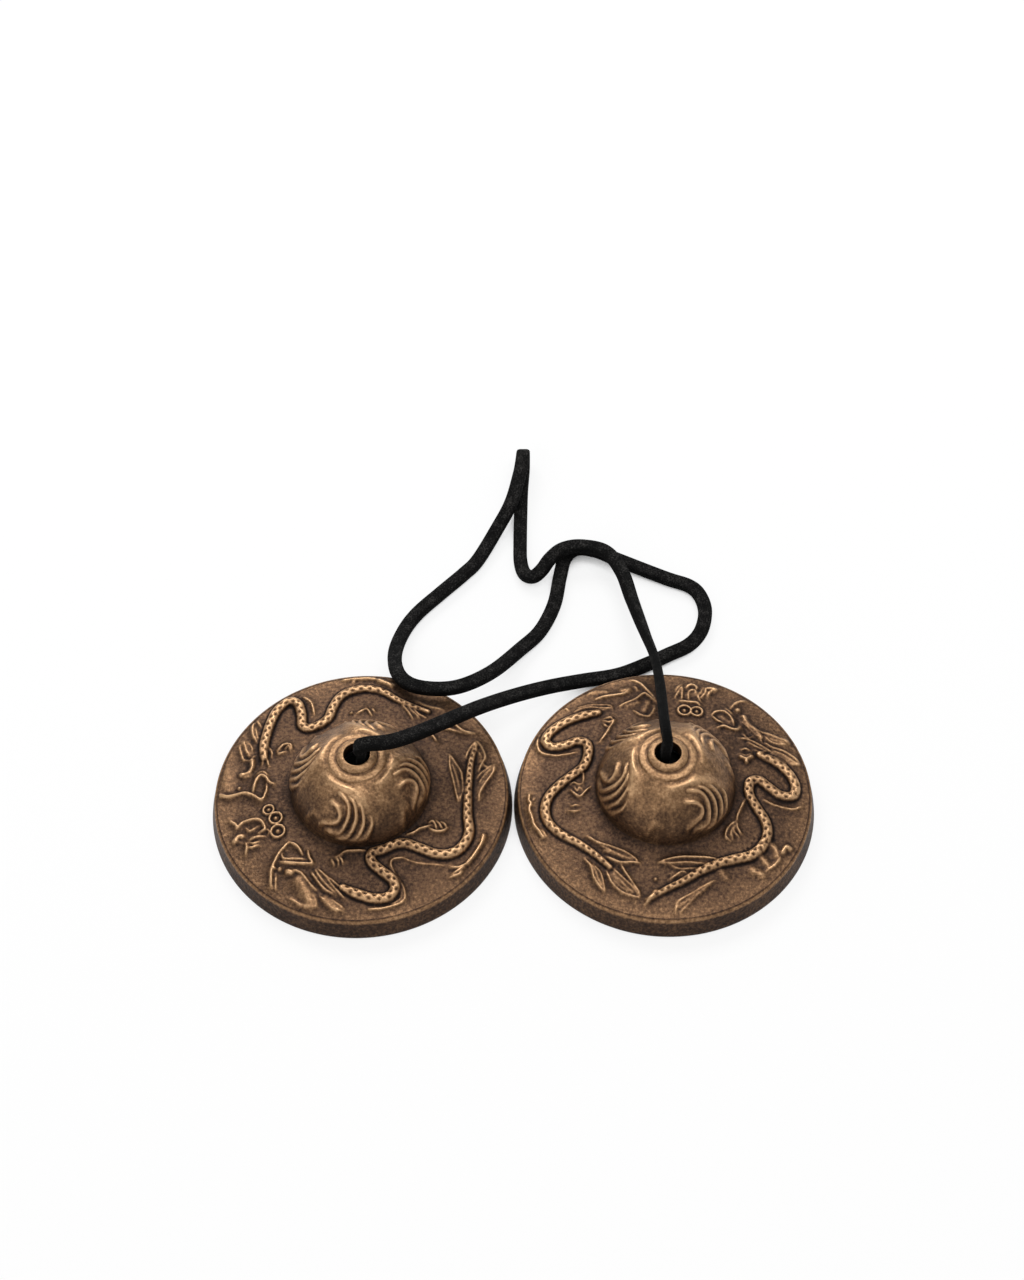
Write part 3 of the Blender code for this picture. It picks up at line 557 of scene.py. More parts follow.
# The lace's route from the left hole to the right one, in millimetres: the solids' own
LACE_ROUTE = [
    (-34.6, 0.0, 25.0), (-32.3, -0.1, 26.3), (-27.3, 1.3, 25.2), (-21.7, 5.5, 22.3), (-13.8, 13.0, 17.4),
    (-7.0, 19.6, 12.8), (0.8, 25.9, 8.2), (8.7, 30.7, 4.8), (16.7, 34.0, 2.6), (25.5, 36.4, 1.6),
    (32.9, 39.7, 1.6), (37.9, 42.4, 1.6), (43.2, 45.4, 1.6), (46.4, 49.7, 1.6), (47.7, 55.6, 1.6),
    (46.7, 60.6, 1.6), (44.1, 63.8, 1.6), (38.2, 66.4, 1.6), (26.6, 72.3, 1.6), (21.1, 75.2, 1.6),
    (16.2, 75.9, 1.6), (13.2, 73.0, 1.6), (11.8, 66.9, 1.6), (10.2, 58.0, 1.6), (6.7, 49.9, 1.6),
    (1.9, 44.0, 2.2), (-4.8, 35.3, 5.0), (-11.7, 29.2, 7.8), (-17.8, 27.4, 8.8), (-24.1, 28.5, 8.9),
    (-27.6, 32.6, 8.2), (-28.7, 40.6, 5.0), (-27.2, 49.2, 2.0), (-23.9, 55.4, 1.6), (-18.0, 62.0, 1.6),
    (-12.4, 68.0, 1.6), (-8.9, 72.5, 1.6), (-4.1, 81.8, 2.6), (-0.5, 88.6, 4.8), (1.6, 97.3, 5.3),
    (2.3, 101.8, 5.4), (2.6, 104.9, 5.2), (2.7, 106.7, 3.5), (2.7, 104.9, 1.8), (2.6, 102.0, 1.6),
    (2.2, 96.0, 1.6), (2.0, 89.6, 1.6), (1.8, 78.0, 1.6), (1.9, 71.8, 1.7), (2.9, 67.7, 2.0),
    (5.0, 66.3, 2.5), (7.2, 67.8, 3.3), (9.4, 70.6, 4.4), (12.6, 72.9, 5.4), (17.4, 73.6, 5.6),
    (23.4, 71.7, 5.6), (27.2, 65.2, 5.6), (29.4, 55.7, 6.4), (31.8, 44.2, 9.0), (33.9, 32.8, 13.0),
    (34.5, 19.9, 18.4), (34.5, 8.5, 23.8), (34.7, 3.2, 25.9), (35.0, 0.6, 25.2),
]
FOLD_PLACE = 42
MOUTH_TOP = 22.9
MOUTH_BOTTOM = 20.6
LEFT_MOUTH = (-CENTRE_X + 1.1, 0)
RIGHT_MOUTH = (CENTRE_X - 0.5, 0.3)
LACE_WIDTH = 3.5
LACE_THICKNESS = 2.3
SECTION_POINTS = 16
TWIST_POINTS = 10

# The knot's turns and its tail, from the cymbal's axis
KNOT_LOOP = [
    (0, 0, 17.6), (-1.2, -1.6, 16.6), (1.4, -3.2, 15.8), (3.3, -0.6, 15.4), (2.2, 2.6, 15), (-1, 3.3, 14.5),
    (-3.2, 1.2, 14), (-2.8, -2, 13.6), (0.2, -2.6, 13), (1.4, -0.6, 12), (0.5, 0.4, 10.5), (0, 0, 8.6),
    (0.4, -0.3, 6.2),
]
KNOT_WIDTH = 2.9
KNOT_THICKNESS = 1.7
KNOT_HEART_SIZE = (3.9, 3.7, 2.7)
KNOT_HEART_HEIGHT = 16.1

# The camera, fitted to both rims in the photograph, in metres
CAMERA_ELEVATION = math.radians(53.29)
CAMERA_TURN = math.radians(0.71)
CAMERA_ROLL = math.radians(-0.865)
CAMERA_TARGET = Vector((-0.00028, 0.04839, 0))
CAMERA_DISTANCE = 0.54
SENSOR_WIDTH = 36
FOCAL_LENGTH = 2184.5 / 1280 * SENSOR_WIDTH

# Softboxes: name, place, width and depth, power, in metres and watts
SOFTBOXES = [
    ("key_softbox", (-0.25, 0.9, 0.95), (0.9, 0.55), 9.0),
    ("top_softbox", (0.3, 0.1, 1.3), (0.8, 0.8), 6.0),
    ("front_fill", (-0.7, -0.9, 0.7), (0.7, 0.7), 2.4),
]
LIT_SPOT = Vector((0, 0.03, 0))

# The floor lies this far under the object, and glows to the camera where nothing near covers it, in metres
FLOOR_DROP = 0.0002
FLOOR_GLOW = 0.82
COVER_REACH = 0.03
SKY_STRENGTH = 0.45


# Shader maths in plain Python
class Socket:
    """An output of a node, which plain arithmetic links on to further nodes."""

    def __init__(self, tree, socket):
        self.tree = tree
        self.socket = socket

    def maths(self, operation, *others):
        return node(self.tree, "ShaderNodeMath", {"operation": operation}, [self, *others])

    def __add__(self, other):
        return self.maths("ADD", other)

    __radd__ = __add__

    def __mul__(self, other):
        return self.maths("MULTIPLY", other)

    __rmul__ = __mul__

    def __sub__(self, other):
        return self.maths("SUBTRACT", other)

    def __rsub__(self, other):
        return node(self.tree, "ShaderNodeMath", {"operation": "SUBTRACT"}, [other, self])


def node(tree, kind, settings=None, values=(), output=0):
    """Any node: its settings first, then its sockets' values or links, in order or by name."""
    made = tree.nodes.new(kind)
    for name, value in (settings or {}).items():
        if name == "stops":
            for place, (position, colour) in enumerate(value):
                while len(made.color_ramp.elements) <= place:
                    made.color_ramp.elements.new(1.0)
                made.color_ramp.elements[place].position = position
                made.color_ramp.elements[place].color = (*colour, 1.0)
        else:
            setattr(made, name, value)
    pairs = values.items() if isinstance(values, dict) else enumerate(values)
    for key, value in pairs:
        if isinstance(value, Socket):
            tree.links.new(value.socket, made.inputs[key])
        elif value is not None:
            made.inputs[key].default_value = value
    return Socket(tree, made.outputs[output])


def noise(tree, place, scale, detail, roughness=0.5):
    """Cloudy noise on Object coordinates. scale is in spots to the metre."""
    return node(tree, "ShaderNodeTexNoise",
                values={"Vector": place, "Scale": scale, "Detail": detail, "Roughness": roughness})


def new_material(name):
    """A node material. Returns it, its tree and its shader."""
    made = bpy.data.materials.new(name)
    made.use_nodes = True
    return made, made.node_tree, made.node_tree.nodes["Principled BSDF"]


def colour_and_bump(tree, shader, tone, tones, height, strength, depth):
    """Links the colour to tone through a ramp, and the bump to height. depth is in metres."""
    colour = node(tree, "ShaderNodeValToRGB", {"stops": tones}, [tone])
    tree.links.new(colour.socket, shader.inputs["Base Color"])
    bump = node(tree, "ShaderNodeBump", values={"Strength": strength, "Distance": depth, "Height": height})
    tree.links.new(bump.socket, shader.inputs["Normal"])


def bronze_finish():
    """Antiqued bronze: dark brown in the hollows, partly painted shade, rubbed to warm tan on what stands out. The
    tone attribute also carries painted highlights and painted shade.
    """
    made, tree, shader = new_material("antiqued_bronze")
    place = node(tree, "ShaderNodeTexCoord", output="Object")
    # The attribute holds wear and painted light: painted shade in the hollows, at the boss's foot and on the rim's
    # side wall, and a painted highlight along the rim's edge
    wear = node(tree, "ShaderNodeAttribute", {"attribute_name": "wear"}, output="Fac")
    broad = noise(tree, place, 90.0, 4.0)
    fine = noise(tree, place, 1400.0, 5.0, 0.65)
    grit = node(tree, "ShaderNodeTexVoronoi", values={"Vector": place, "Scale": 1500.0})
    tone = wear + (broad - 0.5) * 0.34 + (fine - 0.5) * 1.0
    colour_and_bump(tree, shader, tone, BRONZE_TONES, fine * 0.7 + grit * 0.3, 0.8, 0.0002)
    rough = 0.56 - tone * 0.2 + (fine - 0.5) * 0.1
    tree.links.new(rough.socket, shader.inputs["Roughness"])
    shader.inputs["Metallic"].default_value = 0.8
    return made


def lace_finish():
    """Black suede: soft dark nap with grey flecks, a little lighter on the broad faces than on the edges, as painted
    light.
    """
    made, tree, shader = new_material("black_suede")
    place = node(tree, "ShaderNodeTexCoord", output="Object")
    nap = noise(tree, place, 2600.0, 6.0, 0.75)
    patch = noise(tree, place, 420.0, 4.0)
    flat = node(tree, "ShaderNodeAttribute", {"attribute_name": "broad"}, output="Fac")
    # Painted light: the broad faces are lighter and the narrow edges darker
    tone = flat * 0.3 + 0.12 + (nap - 0.5) * 1.9 + (patch - 0.5) * 0.6
    colour_and_bump(tree, shader, tone, SUEDE_TONES, nap + patch * 0.6, 1.0, 0.0004)
    shader.inputs["Roughness"].default_value = 0.9
    shader.inputs["Specular IOR Level"].default_value = 0.12
    return made


# Curves and relief
def smooth_points(points, steps):
    """A Catmull-Rom curve through points."""
    made = [np.array(point, dtype=float) for point in points]
    ends = [2 * made[0] - made[1], *made, 2 * made[-1] - made[-2]]
    curve = []
    for a, b, c, d in zip(ends, ends[1:], ends[2:], ends[3:]):
        for step in range(steps):
            t = step / steps
            bend = (2 * a - 5 * b + 4 * c - d) * t**2 + (3 * b - a - 3 * c + d) * t**3
            curve.append((2 * b + (c - a) * t + bend) / 2)
    curve.append(made[-1])
    return np.array(curve)


def distance(spots, x=0, y=0):
    """How far each spot lies from a point of the plate."""
    return np.hypot(spots[:, 0] - x, spots[:, 1] - y)


def fade(reach, width):
    """Rises from 0 to 1 over a width."""
    return np.clip(reach / width, 0, 1)


def near(spots, curve, reach):
    """The spots within reach of a polyline: which, how far from it and along it, and its length."""
    low = curve.min(axis=0) - reach
    high = curve.max(axis=0) + reach
    picked = np.nonzero(((spots >= low) & (spots <= high)).all(axis=1))[0]
    best = np.full(len(picked), 1e9)
    along = np.zeros(len(picked))
    run = 0.0
    for start, end in zip(curve, curve[1:]):
        step = end - start
        length = max(1e-9, float(np.hypot(*step)))
        share = np.clip(((spots[picked] - start) @ step) / length**2, 0, 1)
        away = np.hypot(*(spots[picked] - start - share[:, None] * step).T)
        closer = away < best
        best = np.where(closer, away, best)
        along = np.where(closer, run + share * length, along)
        run += length
    return picked, best, along, run


def stroke(spots, heights, half_width, height, points, taper=True):
    """Raises one rounded stroke. It keeps what already stands higher."""
    curve = smooth_points(points, 8)
    picked, away, along, run = near(spots, curve, half_width * 1.6)
    ends = fade(np.minimum(along, run - along), half_width * 2) if taper else 1.0
    swell = np.exp(-((away / half_width) ** 2) * 1.9) * height * (0.55 + 0.45 * ends)
    heights[picked] = np.maximum(heights[picked], swell)


def body_relief(spots, heights, dents, points):
    """A dragon's body: a round cord with two staggered rows of scale dimples, which go to dents."""
    curve = smooth_points(points, 14)
    picked, away, along, run = near(spots, curve, 1.9)
    swell = np.clip(np.minimum(along / NECK_TAPER + 0.45, (run - along) / TAIL_TAPER), 0, 1)
    width = BODY_THINNEST + BODY_SWELL * swell
    round_top = np.sqrt(np.clip(1 - (away / (width * 1.12)) ** 2, 0, 1))
    heights[picked] = np.maximum(heights[picked], (0.35 + 0.8 * width) * round_top ** 0.8)
    steps = np.concatenate([[0], np.cumsum(np.hypot(*np.diff(curve, axis=0).T))])

    def spot_at(place):
        """The body's middle at a place along it."""
        return np.array([np.interp(place, steps, curve[:, 0]), np.interp(place, steps, curve[:, 1])])

    place = 1.0
    side = 1
    while place < run - TAIL_SCALE_STEP:
        spot = spot_at(place)
        step = spot_at(place + 0.2) - spot
        forward = step / max(1e-9, float(np.hypot(*step)))
        on_tail = run - place <= TAIL_LENGTH
        spread = side * (TAIL_SCALE_SPREAD if on_tail else SCALE_SPREAD)
        dents.append((spot[0] - forward[1] * spread, spot[1] + forward[0] * spread, SCALE_RADIUS))
        place += TAIL_SCALE_STEP if on_tail else SCALE_STEP
        side = -side


def plate_relief(spots, carving):
    """How high the plate's carving stands at each spot."""
    mass = np.zeros(len(spots))
    line = np.zeros(len(spots))
    dents = [(x, y, PIT_RADIUS) for x, y in carving["pits"]]
    for points in carving["bodies"]:
        body_relief(spots, mass, dents, points)
    for half_width, height, points in carving["masses"]:
        stroke(spots, mass, half_width, height, points, taper=False)
    for half_width, height, points in carving["lines"]:
        stroke(spots, line, half_width * LINE_WIDENING, height, points)
        stroke(spots, mass, half_width * SKIRT_WIDENING, height * SKIRT_SHARE, points)
    for x, y, radius in carving["pearls"]:
        away = distance(spots, x, y)
        ring = PEARL_RING_HEIGHT * np.exp(-(((away - radius) / PEARL_RING_WIDTH) ** 2))
        line = np.maximum(line, ring)
        line = np.maximum(line, PEARL_HEART_HEIGHT * np.exp(-((away / PEARL_HEART_WIDTH) ** 2)))
    for x, y, radius in carving["beads"]:
        line = np.maximum(line, BEAD_HEIGHT * np.exp(-((distance(spots, x, y) / radius) ** 2)))
    total = np.maximum(mass, line) + OVERLAP_SHARE * np.minimum(mass, line)
    for x, y, radius in dents:
        bowl = np.exp(-((distance(spots, x, y) / (radius * DENT_WIDTH)) ** 2) * 1.6)
        total = total - DENT_DEPTH * radius * bowl
    return total


def cast_pits():
    """Casting pits scattered near the right plate's lower right edge."""
    rng = random.Random(11)
    pits = []
    for _ in range(CAST_PITS):
        angle = math.radians(rng.uniform(-44, -28))
        reach = rng.uniform(26.5, 30.5)
        pits.append((reach * math.cos(angle) - 2.5, reach * math.sin(angle) + 1))
    return pits


def boss_relief(spots, fans):
    """How high the boss's cloud ridges stand at each spot. fans are the angles that the fan is turned by."""
    total = np.zeros(len(spots))
    for degrees in fans:
        cosine = math.cos(math.radians(degrees))
        sine = math.sin(math.radians(degrees))
        for half_width, height, points in FAN:
            moved = [(x * cosine - y * sine, x * sine + y * cosine) for x, y in points]
            stroke(spots, total, half_width, height, moved)
    return total


def plate_top(radius):
    """The plate's height, which falls evenly from the boss to the rim."""
    fall = (BOSS_BASE_TOP - PLATE_EDGE_TOP) * (PLATE_RADIUS - radius) / (PLATE_RADIUS - BOSS_RADIUS)
    return PLATE_EDGE_TOP + fall


def dome_top(radius):
    """The boss's height."""
    return BOSS_BASE_TOP + BOSS_RISE * math.sqrt(max(0.0, 1 - (radius / BOSS_RADIUS) ** 2))


# Meshes and pieces
def spun(profile, segments):
    """A profile of (radius, height) turned about the axis. Returns the bmesh."""
    mesh = bmesh.new()
    verts = [mesh.verts.new((radius, 0, height)) for radius, height in profile]
    edges = [mesh.edges.new(pair) for pair in zip(verts, verts[1:])]
    bmesh.ops.spin(mesh, geom=verts + edges, axis=(0, 0, 1), cent=(0, 0, 0), angle=math.tau,
                   steps=segments, use_merge=True)
    bmesh.ops.recalc_face_normals(mesh, faces=mesh.faces)
    return mesh


def polar_sheet(profile, segments):
    """A fine turned sheet: a grid wrapped round the axis, its two ends merged, facing up."""
    mesh = bmesh.new()
    rows = len(profile)
    bmesh.ops.create_grid(mesh, x_segments=segments, y_segments=rows - 1, size=1.0)
    for vert in mesh.verts:
        angle = (vert.co.x + 1) * math.pi
        radius, height = profile[round((vert.co.y + 1) / 2 * (rows - 1))]
        vert.co = (radius * math.cos(angle), radius * math.sin(angle), height)
    seam = [vert for vert in mesh.verts if abs(vert.co.y) < 1e-4 and vert.co.x > 0]
    bmesh.ops.remove_doubles(mesh, verts=seam, dist=1e-3)
    bmesh.ops.recalc_face_normals(mesh, faces=mesh.faces)
    up = sum(face.normal.z * face.calc_area() for face in mesh.faces)
    if up < 0:
        bmesh.ops.reverse_faces(mesh, faces=mesh.faces)
    return mesh


def finish_piece(name, mesh, x, material):
    """Makes a smooth-shaded object of a bmesh in millimetres, moved along X."""
    data = bpy.data.meshes.new(name)
    bmesh.ops.scale(mesh, vec=(MM, MM, MM), verts=mesh.verts)
    bmesh.ops.translate(mesh, vec=(x * MM, 0, 0), verts=mesh.verts)
    mesh.to_mesh(data)
    mesh.free()
    data.shade_smooth()
    data.materials.append(material)
    made = bpy.data.objects.new(name, data)
    bpy.context.scene.collection.objects.link(made)
    return made


def paint(piece, name, values):
    """Gives each point of a piece a value that its material reads."""
    layer = piece.data.attributes.new(name, "FLOAT", "POINT")
    layer.data.foreach_set("value", np.asarray(values, dtype=np.float32))


def bronze_piece(name, mesh, cymbal_name, wear, bronze):
    """A piece of one cymbal's casting, which turns with it and stands for its node."""
    side = -1 if cymbal_name == "left" else 1
    piece = finish_piece(name, mesh, side * CENTRE_X, bronze)
    paint(piece, "wear", wear)
    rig.ride(piece, f"{cymbal_name}_cymbal")
    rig.replaces(piece, f"cymbal_{cymbal_name}")
    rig.slot(piece, "bronze")
    return piece


def read_points(mesh):
    """A bmesh's points as rows of x, y and z."""
    return np.array([vert.co[:] for vert in mesh.verts])


def softened(grid, times):
    """Blurs a polar grid, which closes round the axis."""
    for _ in range(times):
        around = (np.roll(grid, 1, axis=1) + np.roll(grid, -1, axis=1) + 2 * grid) / 4
        inner = np.concatenate([around[:1], around[:-1]])
        outer = np.concatenate([around[1:], around[-1:]])
        grid = (inner + outer + 2 * around) / 4
    return grid


def relief_ring(radii, segments, top, relief, base_wear_and_shade, lean):
    """A turned ring of the casting with relief raised on it. Returns its bmesh and its points' tone, which holds wear
    and painted shade.

    top gives a radius its height, and lean the angle by which the relief leans outwards there.
    """
    mesh = polar_sheet([(radius, top(radius)) for radius in radii], segments)
    points = read_points(mesh)
    angle = np.arctan2(points[:, 1], points[:, 0]) % math.tau
    column = np.rint(angle / math.tau * segments).astype(int) % segments
    reach = distance(points)
    row = np.abs(np.asarray(radii)[None, :] - reach[:, None]).argmin(axis=1)
    around = np.arange(segments) * math.tau / segments
    grid_x = np.outer(radii, np.cos(around))
    grid_y = np.outer(radii, np.sin(around))
    height = relief(np.stack([grid_x.ravel(), grid_y.ravel()], axis=1)).reshape(len(radii), segments)
    height[0] = 0
    height[-1] = 0
    raised = softened(height, 1)
    standing = raised - softened(raised, STANDING_BLUR)
    # Painted shade in the hollows between the relief, where it stands lower than round it; rubbed wear lighter on what
    # stands out and on high relief
    wear = base_wear_and_shade(grid_x, grid_y) + STANDING_WEAR_AND_SHADE * standing + HEIGHT_WEAR * raised
    lift = raised[row, column]
    slope = np.array([lean(value) for value in radii])[row]
    out = lift * np.sin(slope) / np.maximum(reach, 1e-6)
    points[:, 0] *= 1 + out
    points[:, 1] *= 1 + out
    points[:, 2] += lift * np.cos(slope)
    for vert, place in zip(mesh.verts, points):
        vert.co = place
    return mesh, wear[row, column]


# The cymbals
def dragon_plate(name, carving, bronze):
    """The plate between the boss and the rim, with its dragons."""
    def relief(spots):
        reach = distance(spots)
        edge = fade(PLATE_RADIUS - reach, 0.5) * fade(reach - 16.2, 0.5)
        return plate_relief(spots, carving) * edge

    def base_wear_and_shade(x, y):
        """Darkest at the boss's foot, painted shade where the boss meets the plate, and lighter outwards."""
        reach = np.hypot(x, y)
        return 0.15 + 0.17 * fade(reach - BOSS_RADIUS, 3.5) + 0.14 * fade(reach - 27.5, 5)

    def top(radius):
        """The plate's height, with a small fillet up to the boss."""
        return plate_top(radius) + 0.5 * math.exp(-((radius - 16.0) / 0.5))

    def lean(_):
        return 0.0

    radii = list(np.linspace(PLATE_INNER, PLATE_OUTER, PLATE_ROWS))
    mesh, wear = relief_ring(radii, PLATE_STEPS, top, relief, base_wear_and_shade, lean)
    bronze_piece(f"{name}_dragon_plate", mesh, name, wear, bronze)


def boss(name, fans, bronze):
    """The outside of the hollow boss, with its cloud ridges and a short foot on the plate."""
    def relief(spots):
        reach = distance(spots)
        return boss_relief(spots, fans) * fade(reach - 7.0, 0.8) * fade(16.0 - reach, 0.5)

    def base_wear_and_shade(x, y):
        """Lighter round the collar and darker down the dome's steep sides to its foot, as painted shade, with soft
        blotches.
        """
        blotch = np.sin(x * 0.9 + 2 * np.sin(y * 0.7)) * np.sin(y * 0.8 + 1.5 * np.sin(x * 0.6))
        return 0.64 - 0.26 * fade(np.hypot(x, y) - 11, 5) + 0.09 * blotch

    def top(radius):
        if radius < 15.95:
            return dome_top(radius)
        return plate_top(radius) + (FOOT_END - radius) * 6

    def lean(radius):
        return math.asin(min(1.0, radius / BOSS_RADIUS)) * 0.95

    turn = np.linspace(math.asin(BOSS_UPPER / BOSS_RADIUS), math.radians(87), BOSS_ROWS)
    radii = [*(BOSS_RADIUS * math.sin(angle) for angle in turn), FOOT_RADIUS, FOOT_END]
    mesh, wear = relief_ring(radii, BOSS_STEPS, top, relief, base_wear_and_shade, lean)
    bronze_piece(f"{name}_boss", mesh, name, wear, bronze)


def rim_and_collar(name, bronze):
    """The collar, hole, hollow, underside and rim, turned in one."""
    hollow = []
    for step in range(1, HOLLOW_STEPS + 1):
        angle = math.radians(HOLLOW_START + (90 - HOLLOW_START) * step / HOLLOW_STEPS)
        hollow.append((HOLLOW_RADIUS * math.sin(angle), HOLLOW_BASE + HOLLOW_RISE * math.cos(angle)))
    mesh = spun([*COLLAR_OUTLINE, *hollow, *RIM_OUTLINE], RIM_STEPS)
    resting_spot = Vector((31.5, 0, 0))
    lowest = min(mesh.faces, key=lambda face: (face.calc_center_median() - resting_spot).length)
    if lowest.normal.z > 0:
        bmesh.ops.reverse_faces(mesh, faces=mesh.faces)
    points = read_points(mesh)
    reach = distance(points)
    height = points[:, 2]
    # Even wear, with bands of painted highlight and painted shade on the rim and collar
    wear = np.full(len(points), RIM_WEAR)
    for inner, outer, low, high, value in WEAR_AND_PAINTED_LIGHT_BANDS:
        wear[(reach > inner) & (reach < outer) & (height > low) & (height < high)] = value
    piece = bronze_piece(f"{name}_rim_and_collar", mesh, name, wear, bronze)
    piece.data.set_sharp_from_angle(angle=math.radians(50))


def cymbal(name, carving, bronze):
    """One casting in three pieces, which overlap a little where they meet."""
    dragon_plate(name, carving, bronze)
    boss(name, carving["fans"], bronze)
    rim_and_collar(name, bronze)


# The lace
def lace_section(point, ahead, normal, width, thickness):
    """One rounded oblong outline across the lace, and how much each of its points is on a broad face."""
    along = ahead.normalized()
    flat = (normal - along * normal.dot(along)).normalized()
    across = along.cross(flat).normalized()
    outline = []
    for step in range(SECTION_POINTS):
        angle = math.tau * (step + 0.5) / SECTION_POINTS
        wide = math.copysign(abs(math.cos(angle)) ** 0.5, math.cos(angle))
        tall = math.copysign(abs(math.sin(angle)) ** 0.6, math.sin(angle))
        outline.append((point + across * wide * width / 2 + flat * tall * thickness / 2, abs(tall)))
    return outline


def lace_piece(name, route, normals, suede, width=LACE_WIDTH, thickness=LACE_THICKNESS):
    """A flat lace swept along a route, closed at both ends. Returns it and its path in metres."""
    fine = [Vector(point) for point in smooth_points(route, 8)]
    facing = [Vector(point) for point in smooth_points(normals, 8)]
    mesh = bmesh.new()
    rings = []
    broad = []
    for place, point in enumerate(fine):
        before = fine[max(0, place - 1)]
        after = fine[min(len(fine) - 1, place + 1)]
        section = lace_section(point, after - before, facing[place], width, thickness)
        rings.append([mesh.verts.new(spot) for spot, _ in section])
        broad += [tall for _, tall in section]
    for first, second in zip(rings, rings[1:]):
        for place in range(SECTION_POINTS):
            beyond = (place + 1) % SECTION_POINTS
            mesh.faces.new([first[place], first[beyond], second[beyond], second[place]])
    mesh.faces.new(rings[0])
    mesh.faces.new(rings[-1][::-1])
    bmesh.ops.recalc_face_normals(mesh, faces=mesh.faces)
    piece = finish_piece(name, mesh, 0, suede)
    paint(piece, "broad", broad)
    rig.slot(piece, "black_leather")
    return piece, [tuple(point * MM) for point in fine]


def route_length(path):
    """The length of a path through its points."""
    return sum((Vector(b) - Vector(a)).length for a, b in zip(path, path[1:]))


def lace(suede):
    """The lace's free stretch in two halves that meet at its fold. Each bends where its cymbal tips."""
    left_route = [(*LEFT_MOUTH, MOUTH_BOTTOM), (*LEFT_MOUTH, MOUTH_TOP), *LACE_ROUTE[:FOLD_PLACE + 1]]
    right_route = [*LACE_ROUTE[FOLD_PLACE:], (*RIGHT_MOUTH, MOUTH_TOP), (*RIGHT_MOUTH, MOUTH_BOTTOM)]
    left_facing = [
        (-1, 0, 0.02), (-1, 0, 0.05), (-0.8, 0, 0.6), *[(0, 0, 1)] * (len(left_route) - 4), (0, 1, 0)]
    right_facing = [(0, 1, 0), *[(0, 0, -1)] * (len(right_route) - 1)]
    for from_end in range(TWIST_POINTS):
        share = min(1.0, (TWIST_POINTS - from_end) / 5)
        right_facing[-1 - from_end] = (-share, 0, -(1 - share) - 0.02)
    left_lace, left_path = lace_piece("lace_left_half", left_route, left_facing, suede)
    right_lace, right_path = lace_piece("lace_right_half", right_route, right_facing, suede)
    for piece, path in ((left_lace, left_path), (right_lace, right_path)):
        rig.replaces(piece, "cord")
        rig.cord(piece, exit=path[0], length=route_length(path), diameter=LACE_WIDTH * MM,
                far_end="object", stiffness="limp", lay="loose", path=path)
    left_hole = Vector((-CENTRE_X, 0, MOUTH_TOP)) * MM
    slant = Vector((1, 1, 0)).normalized()
    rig.blend(left_lace, "left_knot", "lace",
             start=left_hole + slant * 0.034, end=left_hole + slant * 0.062)
    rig.blend(right_lace, "right_knot", "lace",
             start=(CENTRE_X * MM, 0.03, 0), end=(CENTRE_X * MM, 0.062, 0))


def knot(name, x, lean, suede):
    """An overhand knot with its tail, round a plain heart that fills it. lean moves its top off the axis."""
    loop = [(x + lean, 0, 21.0), (x + lean * 0.8, 0, 19.4)]
    loop += [(x + across, along, height) for across, along, height in KNOT_LOOP]
    facing = [(-1, 0, 0)] * 3 + [(0, 0, 1)] * 9 + [(-1, 0, 0)] * 3
    turns, _ = lace_piece(f"{name}_overhand_knot", loop, facing, suede, KNOT_WIDTH, KNOT_THICKNESS)
    mesh = bmesh.new()
    bmesh.ops.create_uvsphere(mesh, u_segments=48, v_segments=24, radius=1.0)
    bmesh.ops.scale(mesh, vec=KNOT_HEART_SIZE, verts=mesh.verts)
    bmesh.ops.translate(mesh, vec=(0, 0, KNOT_HEART_HEIGHT), verts=mesh.verts)
    heart = finish_piece(f"{name}_knot_heart", mesh, x, suede)
    for piece in (turns, heart):
        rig.replaces(piece, f"knot_{name}")
        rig.ride(piece, f"{name}_knot")
        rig.slot(piece, "black_leather")


# The studio
def pale_floor():
    """The floor: near white to the camera, but dark where a cymbal covers it, with painted shade from ambient
    occlusion round the cymbals.
    """
    mesh = bmesh.new()
    bmesh.ops.create_grid(mesh, x_segments=1, y_segments=1, size=6.0)
    data = bpy.data.meshes.new("floor")
    mesh.to_mesh(data)
    mesh.free()
    floor = bpy.data.objects.new("floor", data)
    floor.location = (0, 0, -FLOOR_DROP)
    bpy.context.scene.collection.objects.link(floor)
    made, tree, shader = new_material("pale_floor")
    shader.inputs["Base Color"].default_value = (0.86, 0.86, 0.86, 1)
    shader.inputs["Roughness"].default_value = 0.9
    glow = node(tree, "ShaderNodeEmission", values={"Color": (1, 1, 1, 1), "Strength": 1.0})
    camera_ray = node(tree, "ShaderNodeLightPath", output="Is Camera Ray")
    surface = Socket(tree, shader.outputs[0])
    # Ambient occlusion fades the glow near the cymbals: painted shade round them
    sky = node(tree, "ShaderNodeAmbientOcclusion", {"samples": 8}, {"Distance": COVER_REACH}, output="AO")
    uncovered = node(tree, "ShaderNodeMath", {"operation": "MULTIPLY", "use_clamp": True},
                     [sky - 0.12, 4.0])
    mixed = node(tree, "ShaderNodeMixShader", values=[camera_ray * uncovered * FLOOR_GLOW, surface, glow])
    tree.links.new(mixed.socket, tree.nodes["Material Output"].inputs["Surface"])
    data.materials.append(made)
    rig.stage(floor)


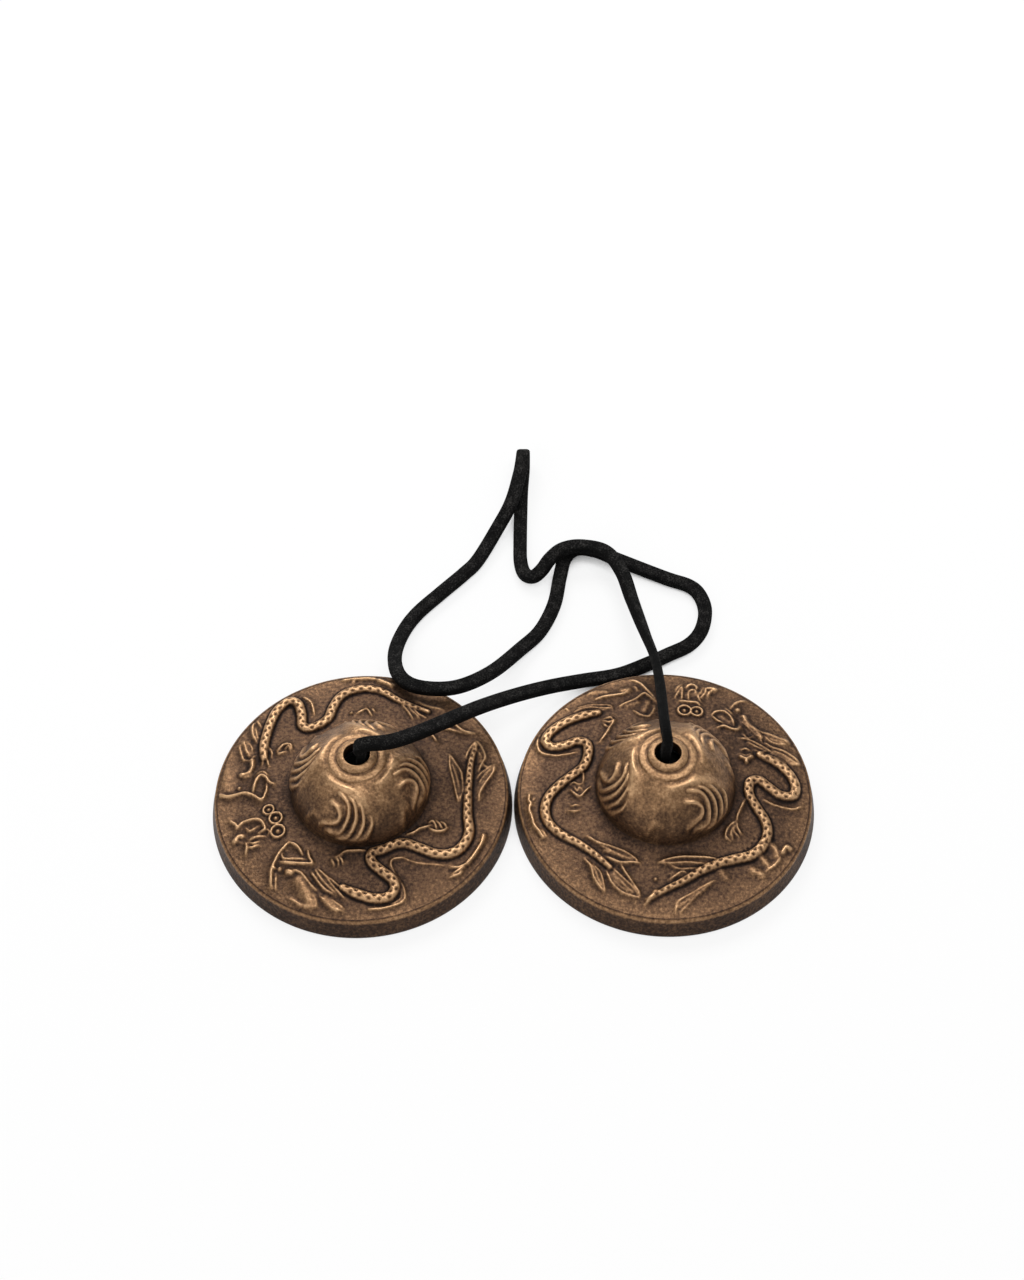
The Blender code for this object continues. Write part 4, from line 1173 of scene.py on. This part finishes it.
def softboxes():
    """Rectangular lamps that all face the cymbals."""
    for name, place, size, power in SOFTBOXES:
        lamp = bpy.data.lights.new(name, "AREA")
        lamp.shape = "RECTANGLE"
        lamp.size, lamp.size_y = size
        lamp.energy = power
        holder = bpy.data.objects.new(name, lamp)
        holder.location = place
        aim = LIT_SPOT - Vector(place)
        holder.rotation_euler = aim.to_track_quat("-Z", "Y").to_euler()
        bpy.context.scene.collection.objects.link(holder)


def studio_world():
    """A plain dim white room, which the camera sees as white."""
    world = bpy.data.worlds.new("studio")
    world.use_nodes = True
    tree = world.node_tree
    back = tree.nodes["Background"]
    camera_ray = node(tree, "ShaderNodeLightPath", output="Is Camera Ray")
    strength = camera_ray * (1 - SKY_STRENGTH) + SKY_STRENGTH
    tree.links.new(strength.socket, back.inputs["Strength"])
    back.inputs["Color"].default_value = (1, 1, 1, 1)
    bpy.context.scene.world = world


def camera():
    """The photograph's camera. back points from its target to it."""
    level = math.cos(CAMERA_ELEVATION)
    back = Vector((math.sin(CAMERA_TURN) * level, -math.cos(CAMERA_TURN) * level,
                   math.sin(CAMERA_ELEVATION)))
    right = (-back).cross(Vector((0, 0, 1))).normalized()
    up = right.cross(-back)
    rolled_right = right * math.cos(CAMERA_ROLL) + up * math.sin(CAMERA_ROLL)
    rolled_up = up * math.cos(CAMERA_ROLL) - right * math.sin(CAMERA_ROLL)
    data = bpy.data.cameras.new("camera")
    data.sensor_width = SENSOR_WIDTH
    data.lens = FOCAL_LENGTH
    data.clip_start = 0.01
    made = bpy.data.objects.new("camera", data)
    facing = Matrix(list(zip(rolled_right, rolled_up, back))).to_4x4()
    made.matrix_world = Matrix.Translation(CAMERA_TARGET + back * CAMERA_DISTANCE) @ facing
    bpy.context.scene.collection.objects.link(made)
    bpy.context.scene.camera = made


bronze = bronze_finish()
suede = lace_finish()
camera()
lace(suede)
knot("left", -CENTRE_X, 0.7, suede)
knot("right", CENTRE_X, -0.5, suede)
cymbal("left", LEFT_CARVING, bronze)
RIGHT_CARVING["pits"] = [*RIGHT_PITS, *cast_pits()]
cymbal("right", RIGHT_CARVING, bronze)
pale_floor()
softboxes()
studio_world()
bpy.context.scene.view_settings.view_transform = "Standard"
with open("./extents.json", "w") as out:
    json.dump({"cad": cad_box, "visual": [list(corner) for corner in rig.bounds()]}, out)
